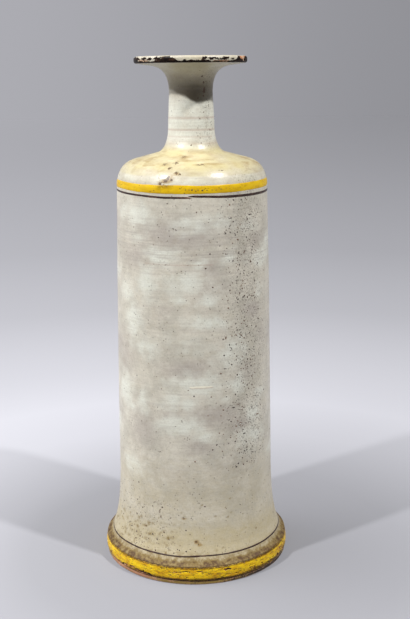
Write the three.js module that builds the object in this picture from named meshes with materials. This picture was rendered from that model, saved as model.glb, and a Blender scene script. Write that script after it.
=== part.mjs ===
// Tin-glazed terracotta bottle: a tall, slightly tapering body on a flared foot with a
// tall upright rim, a low domed shoulder, a narrow neck and a wide flat lip.
//
// It is made as a potter makes a bottle too tall to throw in one go. The floor, foot, two
// wall rings, shoulder and neck are thrown apart and luted together with slip on bevelled
// rims, which centre each section on the one below. Glaze coats the clay inside and out,
// and painted bands lie on the glaze. Only the standing ring and the underside stay bare.
//
// Units are millimetres, +Z is up, and the origin is on the axis where the foot stands.
// Outlines are points (radius, height), and run from the foot up the outside or from the
// lip down the inside. Radii of the clay leave out the glaze that lies on it.
import * as THREE from "three";

// Overall sizes
const HEIGHT = 400; // top of the glazed lip
const BODY_RADIUS = 58; // clay, at the top of the wall
const BODY_TAPER = 3.8; // how much wider the wall is at its bottom
const BODY_SWELL = 0.45; // how far the wall swells out halfway up
const FOOT_FLARE = 13.2; // from the bottom of the wall out to the face of the rim
const NECK_RADIUS = 16.1; // clay, at the narrowest place
const BORE_RADIUS = 12; // clear way through the neck, inside the glaze
const LIP_RADIUS = 42.6; // clay

// Thicknesses of what the bottle is made of
const WALL = 5.2;
const FLOOR = 8;
const LIP = 4.1;
const GLAZE = 0.5;
const PAINT = 0.25;
const SLIP = 0.8;
const GAP = 0.05; // left between two solids that touch

// Foot
const RIM_HEIGHT = 7.5; // of the middle of the rim's upright, slightly bulging face
const RIM_REACH = 7.2; // how far the bulge would run up and down from there
const RIM_BULGE = 1.55; // how far it stands out
const RIM_START = -30; // degrees, at the groove under the rim
const RIM_END = 68; // degrees, at the edge between the rim and the cove
const GROOVE_HEIGHT = 3.3; // of the groove between the rim and the bead
const GROOVE_DEPTH = 0.6;
const BEAD_HEIGHT = 2.4; // top of the bead that the bottle stands on
const STANDING_INSET = 1.3; // of the bead's lower edge, from the face of the rim
const STANDING_ROUND = 0.7; // worn round of that edge
const STANDING_WIDTH = 14; // of the flat ring that the bottle stands on
const RECESS = 4; // height of the floor's underside
const SEAT_SLOPE = 2.5; // how far the floor's seat narrows over its height
const COVE_TOP = 76; // height where the cove runs into the wall
const COVE_BEND = 21.2; // height where the cove would turn if it were a corner

// Shoulder, neck and lip, as drops from the top of the lip
const SHOULDER_DROP = 98.1; // to the top of the wall
const SHOULDER_BEND_DROP = 81.6; // to where the shoulder would turn if it were a corner
const CROWN_DROP = 77.5; // to the upper end of that turn
const CROWN_INSET = 12.8; // how far the turn draws in from the wall
const NECK_FOOT_DROP = 72.5; // to where the slope starts to turn up into the neck
const NECK_FOOT_SPREAD = 9.2; // how far outside the neck that is
const NECK_BASE_DROP = 49; // to the lower end of the straight neck
const NECK_TAPER = 1.1; // how much wider the neck is there
const NECK_TOP_DROP = 26.4; // to where the trumpet of the mouth begins
const TRUMPET_SPREAD = 13.9; // how far the trumpet opens before it becomes the flange
const FLANGE_RISE = 1.5; // how far the flange's underside climbs to the lip
const LIP_ROUND = 1.3; // radius of the lip's two edges
const THROAT_SPREAD = 11.6; // how much wider than the bore the mouth is at the top
const THROAT_DEPTH = 22;

// Seams, as heights of the outer edge of each bevelled rim
const FOOT_SEAM = 40;
const WAIST_SEAM = 170;
const SHOULDER_SEAM_DROP = 104; // below the top of the lip
const NECK_SEAM_DROP = 44; // below the top of the lip
const SEAM_BEVEL = 2.5; // how much higher a rim is inside than outside

// Painted bands, by their lower edge and width
const FOOT_LINE_HEIGHT = 20;
const FOOT_LINE_WIDTH = 1.8;
const SHOULDER_LINE_DROP = 101.3; // below the top of the lip
const SHOULDER_LINE_WIDTH = 1.9;
const SHOULDER_BAND_DROP = 98.1; // below the top of the lip
const SHOULDER_BAND_WIDTH = 6.4;
const LIP_BAND_WIDTH = 2.8;

const SEGMENTS = 32; // facets round the axis
const WALL_STEPS = 3; // straight stretches that the wall's swell is made of

const degrees = THREE.MathUtils.degToRad;
const point = (radius, height) => new THREE.Vector2(radius, height);
const shifted = (p, radius, height) => point(p.x + radius, p.y + height);

// Points on a curve that leaves one point towards a corner and reaches another from it.
function turn(from, corner, to, steps) {
  return new THREE.QuadraticBezierCurve(from, corner, to).getPoints(steps);
}

// Points on an arc about a centre, between two angles in degrees. It is part of an ellipse
// if it reaches further up than sideways.
function arc(centre, sideways, up, start, end, steps) {
  return new THREE.EllipseCurve(
    centre.x, centre.y, sideways, up, degrees(start), degrees(end),
  ).getPoints(steps);
}

// The point at a radius on the line through two points.
function extended(a, b, radius) {
  return a.clone().lerp(b, (radius - a.x) / (b.x - a.x));
}

// An outline made of stretches, without the points that neighbours share.
function joined(...stretches) {
  const points = stretches.flat();
  return points.filter((p, i) => !i || p.distanceTo(points[i - 1]) > 1e-6);
}

// The outline moved sideways by a distance: to its right, seen along its run.
function offset(outline, distance) {
  const normals = outline.slice(1).map((p, i) => {
    const run = p.clone().sub(outline[i]).normalize();
    return point(run.y, -run.x);
  });
  return outline.map((p, i) => {
    const before = normals[Math.max(i - 1, 0)];
    const after = normals[Math.min(i, normals.length - 1)];
    const mitre = before.clone().add(after);
    return p.clone().addScaledVector(mitre, (2 * distance) / mitre.lengthSq());
  });
}

// The point where a rising outline reaches a height.
function at(outline, height) {
  const i = outline.findIndex((p, k) => k && p.y >= height);
  const [a, b] = [outline[i - 1], outline[i]];
  return a.clone().lerp(b, (height - a.y) / (b.y - a.y));
}

// The stretch of a rising outline between two heights.
function between(outline, low, high) {
  const inner = outline.filter((p) => p.y > low && p.y < high);
  return joined([at(outline, low)], inner, [at(outline, high)]);
}

// The clay's outer surface
const coat = GAP + GLAZE;
const top = HEIGHT - coat;
const wallHeight = HEIGHT - SHOULDER_DROP - COVE_TOP;
const wallRadius = (height) => {
  const down = 1 - (height - COVE_TOP) / wallHeight;
  return BODY_RADIUS + BODY_TAPER * down + 4 * BODY_SWELL * down * (1 - down);
};
const wall = Array.from({ length: WALL_STEPS + 1 }, (_, i) => {
  const height = COVE_TOP + (wallHeight * i) / WALL_STEPS;
  return point(wallRadius(height), height);
});
const [wallBottom, wallTop] = [wall[0], wall.at(-1)];

const rimFace = wallBottom.x + FOOT_FLARE;
const rimCentre = point(rimFace - RIM_BULGE, RIM_HEIGHT);
const rim = arc(rimCentre, RIM_BULGE, RIM_REACH, RIM_START, RIM_END, 6);
const standingEdge = point(rimFace - STANDING_INSET, 0);
const bead = shifted(standingEdge, STANDING_ROUND, STANDING_ROUND);
const footBottom = [
  standingEdge,
  bead,
  point(bead.x, BEAD_HEIGHT),
  point(bead.x - GROOVE_DEPTH, GROOVE_HEIGHT),
];

const crown = point(BODY_RADIUS - CROWN_INSET, HEIGHT - CROWN_DROP);
const neckBase = point(NECK_RADIUS + NECK_TAPER, HEIGHT - NECK_BASE_DROP);
const neckFoot = point(neckBase.x + NECK_FOOT_SPREAD, HEIGHT - NECK_FOOT_DROP);
const neckTop = point(NECK_RADIUS, HEIGHT - NECK_TOP_DROP);
const lipUnder = point(LIP_RADIUS - LIP_ROUND, top - LIP);
const flangeRoot = point(NECK_RADIUS + TRUMPET_SPREAD, lipUnder.y - FLANGE_RISE);

const outside = joined(
  footBottom,
  rim,
  turn(rim.at(-1), point(wallRadius(COVE_BEND), COVE_BEND), wallBottom, 5),
  wall,
  turn(wallTop, point(BODY_RADIUS, HEIGHT - SHOULDER_BEND_DROP), crown, 4),
  turn(neckFoot, extended(crown, neckFoot, neckBase.x), neckBase, 4),
  turn(neckTop, extended(lipUnder, flangeRoot, NECK_RADIUS), flangeRoot, 4),
  arc(shifted(lipUnder, 0, LIP_ROUND), LIP_ROUND, LIP_ROUND, -90, 0, 2),
  arc(point(lipUnder.x, top - LIP_ROUND), LIP_ROUND, LIP_ROUND, 0, 90, 2),
);

// The clay's inner surface
const boreRadius = BORE_RADIUS + coat;
const mouth = point(boreRadius + THROAT_SPREAD, top);
const boreTop = point(boreRadius, top - THROAT_DEPTH);
const boreBottom = point(boreRadius, neckBase.y);
const floorTop = RECESS + FLOOR;
const innerNeckFoot = shifted(neckFoot, -WALL, -WALL);
const innerCrown = shifted(crown, -WALL, -WALL);
const innerWall = wall.map((p) => shifted(p, -WALL, 0)).reverse();
const innerFoot = point(wallRadius(floorTop) - WALL, floorTop);

const inside = joined(
  turn(mouth, point(boreRadius, top), boreTop, 3),
  turn(boreBottom, extended(innerCrown, innerNeckFoot, boreRadius), innerNeckFoot, 3),
  turn(innerCrown, point(innerWall[0].x, innerCrown.y - WALL), innerWall[0], 3),
  innerWall,
  [innerFoot],
);
const insideRising = [...inside].reverse();

// Materials
const terracotta = new THREE.MeshStandardMaterial({ color: 0xb0694a, roughness: 0.92 });
const slip = new THREE.MeshStandardMaterial({ color: 0x9c5a3e, roughness: 0.95 });
const whiteGlaze = new THREE.MeshStandardMaterial({ color: 0xd8d2c0, roughness: 0.35 });
const liningGlaze = new THREE.MeshStandardMaterial({ color: 0xc9bda0, roughness: 0.4 });
const yellow = new THREE.MeshStandardMaterial({ color: 0xe8bd1a, roughness: 0.32 });
const brown = new THREE.MeshStandardMaterial({ color: 0x2e1c16, roughness: 0.35 });

const bottle = new THREE.Group();

// A solid turned about the axis from a cross-section, added to the bottle. The section is
// closed, or starts and ends on the axis.
function turned(name, section, material) {
  const outline = THREE.ShapeUtils.area(section) < 0 ? [...section].reverse() : section;
  const profile = outline[0].x === 0 ? outline : [...outline, outline[0]];
  const geometry = new THREE.LatheGeometry(profile, SEGMENTS);
  const mesh = new THREE.Mesh(geometry.rotateX(Math.PI / 2), material);
  mesh.name = name;
  bottle.add(mesh);
}

// The cross-section of the clay wall between two heights of its outer face. Its ends are
// bevelled, so they are higher inside.
function wallSection(low, high) {
  const inner = between(insideRising, low + SEAM_BEVEL, high + SEAM_BEVEL);
  return [...between(outside, low, high), ...inner.reverse()];
}

// The cross-section of a thin layer over a stretch of surface, between two distances.
function layer(surface, near, far) {
  return [...offset(surface, far), ...offset(surface, near).reverse()];
}

// A ring of slip between two rims, above the lower rim's outer edge.
function slipRing(name, seam) {
  turned(name, wallSection(seam + GAP, seam + GAP + SLIP), slip);
}

// Clay floor, wedged in a conical seat in the foot with slip around it
const joint = SLIP + 2 * GAP;
const seatTop = innerFoot;
const seatBottom = point(seatTop.x - SEAT_SLOPE, RECESS);
turned(
  "floor_slab",
  [
    point(0, RECESS),
    shifted(seatBottom, -joint, 0),
    shifted(seatTop, -joint, 0),
    point(0, floorTop),
  ],
  terracotta,
);
turned(
  "floor_slip",
  [
    shifted(seatBottom, -GAP - SLIP, 0),
    shifted(seatBottom, -GAP, 0),
    shifted(seatTop, -GAP, 0),
    shifted(seatTop, -GAP - SLIP, 0),
  ],
  slip,
);

// Thrown sections from the foot up, with a ring of slip between each two
const shoulderSeam = HEIGHT - SHOULDER_SEAM_DROP;
const neckSeam = HEIGHT - NECK_SEAM_DROP;
turned(
  "foot_ring",
  [
    shifted(standingEdge, -STANDING_WIDTH, 0),
    ...outside.filter((p) => p.y < FOOT_SEAM),
    at(outside, FOOT_SEAM),
    at(insideRising, FOOT_SEAM + SEAM_BEVEL),
    seatTop,
    seatBottom,
  ],
  terracotta,
);
slipRing("foot_slip", FOOT_SEAM);
turned("lower_wall", wallSection(FOOT_SEAM + joint, WAIST_SEAM), terracotta);
slipRing("waist_slip", WAIST_SEAM);
turned("upper_wall", wallSection(WAIST_SEAM + joint, shoulderSeam), terracotta);
slipRing("shoulder_slip", shoulderSeam);
turned("shoulder_dome", wallSection(shoulderSeam + joint, neckSeam), terracotta);
slipRing("neck_slip", neckSeam);
const neckStart = neckSeam + joint;
turned(
  "neck_and_lip",
  [
    at(outside, neckStart),
    ...outside.filter((p) => p.y > neckStart),
    ...inside.filter((p) => p.y > neckStart + SEAM_BEVEL),
    at(insideRising, neckStart + SEAM_BEVEL),
  ],
  terracotta,
);

// Outer glaze, from the groove under the rim over the lip to the edge of the mouth
const glazedClay = [...outside.slice(footBottom.length), mouth];
turned("outer_glaze", layer(glazedClay, GAP, coat), whiteGlaze);

// Glaze lining, from the edge of the mouth down the throat and across the floor
const linedClay = [shifted(mouth, -GAP, 0), ...inside.slice(1)];
const lining = (distance) => [
  ...offset(linedClay, distance).slice(0, -1),
  shifted(innerFoot, -distance, distance),
  point(0, floorTop + distance),
];
turned("inner_glaze", [...lining(coat).reverse(), ...lining(GAP)], liningGlaze);

// Painted bands on the outer glaze
const glazeFace = offset(glazedClay, coat);
const glazeAt = (low, width) => between(glazeFace, low, low + width);
const shoulderLineLow = HEIGHT - SHOULDER_LINE_DROP;
const shoulderBandLow = HEIGHT - SHOULDER_BAND_DROP;
const paintedBands = [
  ["foot_band", glazeFace.slice(0, rim.length), yellow],
  ["foot_line", glazeAt(FOOT_LINE_HEIGHT, FOOT_LINE_WIDTH), brown],
  ["shoulder_line", glazeAt(shoulderLineLow, SHOULDER_LINE_WIDTH), brown],
  ["shoulder_band", glazeAt(shoulderBandLow, SHOULDER_BAND_WIDTH), yellow],
  ["lip_band", glazeAt(lipUnder.y, LIP_BAND_WIDTH), brown],
];
for (const [name, stretch, material] of paintedBands) {
  turned(name, layer(stretch, GAP, GAP + PAINT), material);
}

export default bottle;
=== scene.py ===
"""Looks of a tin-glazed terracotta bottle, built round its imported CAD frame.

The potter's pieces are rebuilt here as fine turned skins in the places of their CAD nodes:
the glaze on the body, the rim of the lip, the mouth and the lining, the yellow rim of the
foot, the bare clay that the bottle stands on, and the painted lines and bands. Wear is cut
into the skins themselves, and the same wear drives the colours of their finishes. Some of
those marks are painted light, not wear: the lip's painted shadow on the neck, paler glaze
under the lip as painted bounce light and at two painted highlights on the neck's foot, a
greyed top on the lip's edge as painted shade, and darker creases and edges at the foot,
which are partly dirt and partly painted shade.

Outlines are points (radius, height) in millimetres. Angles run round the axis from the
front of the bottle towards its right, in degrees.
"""

import logging
import math
from collections.abc import Callable
from dataclasses import dataclass, field
from enum import Enum

import bpy
import numpy as np
from mathutils import Matrix

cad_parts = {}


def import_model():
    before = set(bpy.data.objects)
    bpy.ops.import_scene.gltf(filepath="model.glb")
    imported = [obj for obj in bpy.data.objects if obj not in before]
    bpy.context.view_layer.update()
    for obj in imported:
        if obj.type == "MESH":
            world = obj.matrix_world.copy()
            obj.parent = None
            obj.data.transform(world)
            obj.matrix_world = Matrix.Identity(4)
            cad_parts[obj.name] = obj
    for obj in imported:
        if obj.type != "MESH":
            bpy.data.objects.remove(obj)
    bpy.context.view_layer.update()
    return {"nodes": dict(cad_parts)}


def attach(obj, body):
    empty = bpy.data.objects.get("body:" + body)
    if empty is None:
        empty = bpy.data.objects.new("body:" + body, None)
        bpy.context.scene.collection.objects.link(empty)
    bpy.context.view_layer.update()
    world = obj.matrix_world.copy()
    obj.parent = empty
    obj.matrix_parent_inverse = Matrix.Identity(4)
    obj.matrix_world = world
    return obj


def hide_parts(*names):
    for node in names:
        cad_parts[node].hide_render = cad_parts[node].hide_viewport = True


Colour = tuple[float, float, float]
Point = tuple[float, float]
Triple = tuple[float, float, float]
Field = np.ndarray
Piece = bpy.types.Object
Material = bpy.types.Material
Socket = bpy.types.NodeSocket

# Angle, height, half width, half height and strength of a soft oval mark
Mark = tuple[float, float, float, float, float]

# First angle, last angle, height, half width and strength of a level streak
Streak = tuple[float, float, float, float, float]

MM = 0.001
BODY = "root"
LOG = logging.getLogger("bottle")


class Slot(Enum):
    """The record's material slots; the brush strokes carry one, but nothing here reads it."""

    TERRACOTTA = "terracotta"
    WHITE = "white_glaze"
    LINING = "lining_glaze"
    YELLOW = "yellow_glaze"
    BROWN = "brown_glaze"


class Wear(Enum):
    """Marks that a skin carries at each of its points, from 0 to 1, among them painted shade and light.
    """

    SOIL = "soil"
    AGED = "aged"
    CREAM = "cream"
    STAIN = "stain"
    SCRATCH = "scratch"
    CHIP = "chip"
    PAINT = "paint"
    PALE = "pale"
    GREY = "grey"
    SPECK = "speck"
    WHEEL = "wheel"
    LINE = "line"
    OCHRE = "ochre"
    # The lip's painted shadow on the neck.
    SOOT = "soot"


def smooth(values: Field, low: float, high: float) -> Field:
    """Eases values from 0 at low to 1 at high, which may be under low."""
    t = np.clip((values - low) / (high - low), 0.0, 1.0)
    return t * t * (3.0 - 2.0 * t)


def radii_of(places: Field) -> Field:
    """Finds how far each place lies from the axis."""
    return np.hypot(places[..., 0], places[..., 1])


def angles_of(places: Field) -> Field:
    """Finds each place's angle round the axis, from -180 to 180."""
    return np.degrees(np.arctan2(places[..., 0], -places[..., 1]))


def turned_by(angles: Field, start: float) -> Field:
    """Measures angles from a start, from -180 to 180."""
    return (angles - start + 180.0) % 360.0 - 180.0


def bell(values: Field, middle: float, spread: float) -> Field:
    """Falls from 1 at the middle to nearly 0 at twice the spread from it."""
    return np.exp(-(((values - middle) / spread) ** 2))


def facing(angles: Field, middle: float, spread: float) -> Field:
    """Falls from 1 at one angle to nearly 0 at twice the spread from it."""
    return bell(turned_by(angles, middle), 0.0, spread)


def marked(places: Field, marks: list[Mark] | tuple[Mark, ...]) -> Field:
    """Lays soft oval marks on the bottle.

    Args:
        places: Places in millimetres.
        marks: The marks, each half as strong at its edge as in its middle.

    Returns:
        The strongest mark at each place.
    """
    angles, radii, heights = angles_of(places), radii_of(places), places[..., 2]
    total = np.zeros(radii.shape)
    for angle, height, wide, tall, strength in marks:
        across = np.radians(turned_by(angles, angle)) * radii / wide
        away = across**2 + ((heights - height) / tall) ** 2
        total = np.maximum(total, strength * np.exp(-0.7 * away))
    return total


@dataclass(frozen=True)
class Strewing:
    """Marks strewn over a part of the bottle, the same ones for the same seed.

    Its pairs are the smallest and largest height, half width, half height and angle.
    """

    seed: int
    count: int
    heights: Point
    wide: Point
    tall: Point
    turned: Point = (76, 284)
    strength: Point = (0.55, 1.0)

    def marks(self) -> list[Mark]:
        """Draws the marks.

        Returns:
            As many marks as the count says.
        """
        draw = np.random.default_rng(self.seed)
        ranges = (self.turned, self.heights, self.wide, self.tall, self.strength)
        columns = [draw.uniform(*ends, self.count) for ends in ranges]
        return [tuple(row) for row in np.stack(columns, -1)]


class Hand:
    """Seeded smooth noise in space: what the potter's hand and the kiln leave uneven."""

    def __init__(self, seed: int) -> None:
        """Shuffles the lattice that the noise is read from.

        Args:
            seed: Picks one fixed pattern.
        """
        draw = np.random.default_rng(seed)
        self._order = draw.permutation(256)
        self._values = draw.uniform(-1.0, 1.0, 256)

    def _lattice(self, i: Field, j: Field, k: Field) -> Field:
        """Reads the fixed random value of each lattice corner."""
        order = self._order
        return self._values[order[(order[(order[i & 255] + j) & 255] + k) & 255]]

    def noise(self, points: Field, size: float) -> Field:
        """Reads smooth noise.

        Args:
            points: Places in millimetres, with three numbers in the last axis.
            size: Width of one swelling, in millimetres.

        Returns:
            Values between -1 and 1, one for each place.
        """
        scaled = points / size
        base = np.floor(scaled).astype(int)
        t = scaled - base
        t = t * t * (3.0 - 2.0 * t)
        total = np.zeros(points.shape[:-1])
        for corner in range(8):
            step = np.array([corner & 1, corner >> 1 & 1, corner >> 2 & 1])
            weight = np.prod(np.where(step, t, 1.0 - t), axis=-1)
            at = base + step
            total += weight * self._lattice(at[..., 0], at[..., 1], at[..., 2])
        return total

    def layered(self, points: Field, size: float, layers: int = 3) -> Field:
        """Adds finer and weaker noise on noise.

        Args:
            points: Places in millimetres.
            size: Width of the largest swelling, in millimetres.
            layers: How many sizes are added, each half the one before.

        Returns:
            Values that mostly lie between -1 and 1.
        """
        total = np.zeros(points.shape[:-1])
        for layer in range(layers):
            total += self.noise(points + 37.0 * layer, size / 2**layer) / 2**layer
        return total / 1.5

    def warped(self, places: Field, reach: float, size: float) -> Field:
        """Pushes places about by about a reach, so that even marks get uneven edges."""
        push = [self.layered(places + shift, size) for shift in (11.0, 53.0, 97.0)]
        return places + reach * np.stack(push, -1)


class Outline:
    """A line of points (radius, height), with outward to its right as it runs."""

    def __init__(self, points: Field) -> None:
        """Keeps the points and measures the line.

        Args:
            points: Two numbers for each point, in millimetres.
        """
        steps = np.linalg.norm(np.diff(points, axis=0), axis=1)
        keep = np.concatenate([[True], steps > 1e-6])
        self.points = points[keep]
        steps = np.linalg.norm(np.diff(self.points, axis=0), axis=1)
        self.run = np.concatenate([[0.0], np.cumsum(steps)])

    @property
    def length(self) -> float:
        """Length of the line, in millimetres."""
        return float(self.run[-1])

    def place(self, run: Field) -> Field:
        """Finds the points at given lengths along the line."""
        return np.stack([np.interp(run, self.run, self.points[:, i]) for i in (0, 1)], -1)

    def run_at(self, height: Field | float) -> Field | float:
        """Finds how far along a rising line it reaches a height."""
        return np.interp(height, np.maximum.accumulate(self.points[:, 1]), self.run)

    def normals(self) -> Field:
        """Finds the outward direction at each point.

        Returns:
            A direction of length 1 for each point.
        """
        along = np.gradient(self.points, self.run, axis=0)
        along /= np.linalg.norm(along, axis=1, keepdims=True)
        return np.stack([along[:, 1], -along[:, 0]], -1)

    def normals_at(self, run: Field) -> Field:
        """Finds the outward direction at given lengths along the line."""
        normals = self.normals()
        return np.stack([np.interp(run, self.run, normals[:, i]) for i in (0, 1)], -1)

    def resampled(self, step: float) -> "Outline":
        """Makes the same line with points about one step apart."""
        count = max(2, round(self.length / step) + 1)
        return Outline(self.place(np.linspace(0.0, self.length, count)))

    def eased(self, reach: float, step: float) -> "Outline":
        """Rounds off the corners of the line and keeps its ends.

        Args:
            reach: How far along the line the rounding reaches, in millimetres.
            step: Distance between the points of the new line.

        Returns:
            The rounded line.
        """
        even = self.resampled(step)
        half = max(1, round(reach / step))
        kernel = np.hanning(2 * half + 3)[1:-1]
        kernel /= kernel.sum()
        first, last = even.points[:1], even.points[-1:]
        before = 2 * first - even.points[half:0:-1]
        after = 2 * last - even.points[-2 : -half - 2 : -1]
        padded = np.concatenate([before, even.points, after])
        columns = [np.convolve(padded[:, i], kernel, "valid") for i in (0, 1)]
        return Outline(np.stack(columns, -1))

    def inner(self, reach: float) -> Field:
        """Eases from 0 at the line's ends to 1 at a reach from them, a row for each point."""
        ends = np.minimum(self.run, self.length - self.run)
        return smooth(ends, 0.0, reach)[:, None]

    def offset(self, distance: float) -> "Outline":
        """Moves the line outward by a distance."""
        return Outline(self.points + self.normals() * distance)

    def between(self, low: float, high: float, step: float) -> "Outline":
        """Cuts a rising line at two heights.

        Args:
            low: Height of the new line's start.
            high: Height of its end.
            step: Distance between its points.

        Returns:
            The stretch between the two heights.
        """
        start, end = self.run_at(low), self.run_at(high)
        count = max(2, round((end - start) / step) + 1)
        return Outline(self.place(np.linspace(start, end, count)))


def turn(start: Point, corner: Point, end: Point, steps: int = 24) -> Field:
    """Draws a curve that leaves one point towards a corner and reaches another from it.

    Args:
        start: First point (radius, height).
        corner: Where both ends point to.
        end: Last point.
        steps: Number of steps.

    Returns:
        The curve's points.
    """
    t = np.linspace(0.0, 1.0, steps + 1)[:, None]
    a, b, c = (np.array(p, float) for p in (start, corner, end))
    return (1 - t) ** 2 * a + 2 * t * (1 - t) * b + t**2 * c


def arc(centre: Point, sideways: float, up: float, start: float, end: float, steps: int) -> Field:
    """Draws an arc of an upright oval between two angles, in degrees."""
    t = np.radians(np.linspace(start, end, steps + 1))
    return np.stack([centre[0] + sideways * np.cos(t), centre[1] + up * np.sin(t)], -1)


def extended(a: Point, b: Point, radius: float) -> Point:
    """Finds the point at a radius on the line through two points."""
    t = (radius - a[0]) / (b[0] - a[0])
    return (radius, a[1] + (b[1] - a[1]) * t)


@dataclass(frozen=True)
class BottleSizes:
    """Sizes of the clay and of what lies on it, in millimetres, as the CAD has them."""

    height: float = 400.0
    body_radius: float = 58.0
    body_taper: float = 3.8
    body_swell: float = 0.45
    foot_flare: float = 13.2
    neck_radius: float = 16.1
    bore_radius: float = 12.0
    lip_radius: float = 42.6
    wall: float = 5.2
    floor: float = 8.0
    lip: float = 4.1
    glaze: float = 0.5
    slip: float = 0.8
    gap: float = 0.05
    rim_height: float = 7.5
    rim_reach: float = 7.2
    rim_bulge: float = 1.55
    rim_start: float = -30.0
    rim_end: float = 68.0
    groove_height: float = 3.3
    groove_depth: float = 0.6
    bead_height: float = 2.4
    standing_inset: float = 1.3
    standing_round: float = 0.7
    standing_width: float = 14.0
    recess: float = 4.0
    seat_slope: float = 2.5
    cove_top: float = 76.0
    cove_bend: float = 21.2
    shoulder_drop: float = 98.1
    shoulder_bend_drop: float = 81.6
    crown_drop: float = 77.5
    crown_inset: float = 12.8
    neck_foot_drop: float = 72.5
    neck_foot_spread: float = 9.2
    neck_base_drop: float = 49.0
    neck_taper: float = 1.1
    neck_top_drop: float = 26.4
    trumpet_spread: float = 13.9
    flange_rise: float = 1.5
    lip_round: float = 1.3
    throat_spread: float = 11.6
    throat_depth: float = 22.0
    foot_seam: float = 40.0
    neck_seam_drop: float = 44.0
    seam_bevel: float = 2.5

    @property
    def coat(self) -> float:
        """Distance from the clay to the face of its glaze."""
        return self.gap + self.glaze

    @property
    def joint(self) -> float:
        """Room that a slip ring takes between two sections."""
        return self.slip + 2 * self.gap

    @property
    def top(self) -> float:
        """Height of the clay's top."""
        return self.height - self.coat

    @property
    def floor_top(self) -> float:
        """Height of the clay floor's upper face."""
        return self.recess + self.floor

    @property
    def seat(self) -> float:
        """Radius of the upper edge of the floor's seat."""
        return self.wall_radius(self.floor_top) - self.wall

    @property
    def wall_top(self) -> Point:
        """Upper end of the wall."""
        return (self.body_radius, self.height - self.shoulder_drop)

    @property
    def crown(self) -> Point:
        """Upper end of the shoulder's turn."""
        return (self.body_radius - self.crown_inset, self.height - self.crown_drop)

    @property
    def neck_base(self) -> Point:
        """Lower end of the straight neck."""
        return (self.neck_radius + self.neck_taper, self.height - self.neck_base_drop)

    @property
    def neck_foot(self) -> Point:
        """Where the shoulder starts to turn up into the neck."""
        return (self.neck_base[0] + self.neck_foot_spread, self.height - self.neck_foot_drop)

    @property
    def rim_face(self) -> float:
        """Radius of the foot's rim."""
        return self.body_radius + self.body_taper + self.foot_flare

    @property
    def rim_centre(self) -> Point:
        """Centre of the rim's bulge."""
        return (self.rim_face - self.rim_bulge, self.rim_height)

    @property
    def lip_under(self) -> Point:
        """Where the lip's underside meets the round of its edge."""
        return (self.lip_radius - self.lip_round, self.top - self.lip)

    @property
    def flange_root(self) -> Point:
        """Where the mouth's trumpet becomes the flange."""
        radius = self.neck_radius + self.trumpet_spread
        return (radius, self.lip_under[1] - self.flange_rise)

    @property
    def mouth(self) -> Point:
        """Where the lip's flat top meets the throat."""
        return (self.bore_radius + self.coat + self.throat_spread, self.top)

    def wall_radius(self, height: float) -> float:
        """Finds the radius of the wall, carried on past its ends.

        Args:
            height: A height over the floor.

        Returns:
            The radius there.
        """
        high = self.wall_top[1]
        down = (high - height) / (high - self.cove_top)
        swell = 4.0 * self.body_swell * down * (1.0 - down)
        return self.body_radius + self.body_taper * down + swell

    def rim(self) -> Field:
        """Draws the clay's rim, from the groove under it to the edge of the cove."""
        ends = (self.rim_start, self.rim_end)
        return arc(self.rim_centre, self.rim_bulge, self.rim_reach, *ends, 40)

    def lip_edge(self, inset: float, steps: int) -> Field:
        """Draws the round of the lip's edge, from its underside to its top.

        Args:
            inset: How far inside the clay's own edge it lies.
            steps: Number of steps in each of its two bends.

        Returns:
            The edge's points.
        """
        r, centre = self.lip_round, self.lip_under[0] - inset
        low = arc((centre, self.lip_under[1] + r), r, r, -90.0, 0.0, steps)
        return np.concatenate([low, arc((centre, self.top - r), r, r, 0.0, 90.0, steps)])

    def body(self) -> Outline:
        """Draws the clay from the edge above the foot's rim to the edge of the lip.

        Returns:
            The line.
        """
        heights = np.linspace(self.cove_top, self.wall_top[1], 30)
        wall = np.array([(self.wall_radius(h), h) for h in heights])
        cove = (self.wall_radius(self.cove_bend), self.cove_bend)
        bend = (self.body_radius, self.height - self.shoulder_bend_drop)
        base, foot, under = self.neck_base, self.neck_foot, self.lip_under
        neck_top = (self.neck_radius, self.height - self.neck_top_drop)
        root = self.flange_root
        points = np.concatenate([
            turn(tuple(self.rim()[-1]), cove, tuple(wall[0])),
            wall,
            turn(self.wall_top, bend, self.crown),
            turn(foot, extended(self.crown, foot, base[0]), base),
            turn(neck_top, extended(under, root, self.neck_radius), root),
            [under],
        ])
        return Outline(points).eased(2.4, 0.4)

    def inside(self) -> Outline:
        """Draws the clay's inner surface, from the mouth down to the floor.

        Returns:
            The line.
        """
        bore = self.bore_radius + self.coat
        foot, crown = ((r - self.wall, h - self.wall) for r, h in (self.neck_foot, self.crown))
        wall_top = (self.body_radius - self.wall, self.wall_top[1])
        heights = np.linspace(self.wall_top[1], self.cove_top, 12)
        wall = [(self.wall_radius(h) - self.wall, h) for h in heights]
        points = np.concatenate([
            turn(self.mouth, (bore, self.top), (bore, self.top - self.throat_depth)),
            turn((bore, self.neck_base[1]), extended(crown, foot, bore), foot),
            turn(crown, (wall_top[0], crown[1] - self.wall), wall_top),
            wall,
            [(self.seat, self.floor_top)],
        ])
        return Outline(points)


def spun(outline: Field, angles: Field) -> Field:
    """Turns an outline about the axis.

    Args:
        outline: Points (radius, height), with any leading axes.
        angles: Angles from the front towards the right, in radians.

    Returns:
        Places in millimetres; the angles make the axis before the last.
    """
    radius, height = outline[..., 0, None], outline[..., 1, None]
    shape = np.broadcast_shapes(radius.shape, angles.shape)
    x = np.broadcast_to(radius * np.sin(angles), shape)
    y = np.broadcast_to(-radius * np.cos(angles), shape)
    return np.stack([x, y, np.broadcast_to(height, shape)], -1)


def swung(points: Field, angles: Field) -> Field:
    """Turns each point (radius, height) to its own angle in radians."""
    x, y = points[..., 0] * np.sin(angles), -points[..., 0] * np.cos(angles)
    return np.stack([x, y, points[..., 1]], -1)


def around(count: int) -> Field:
    """Lists evenly spaced angles round the axis, in radians."""
    return np.arange(count) * (2.0 * math.pi / count)


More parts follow.
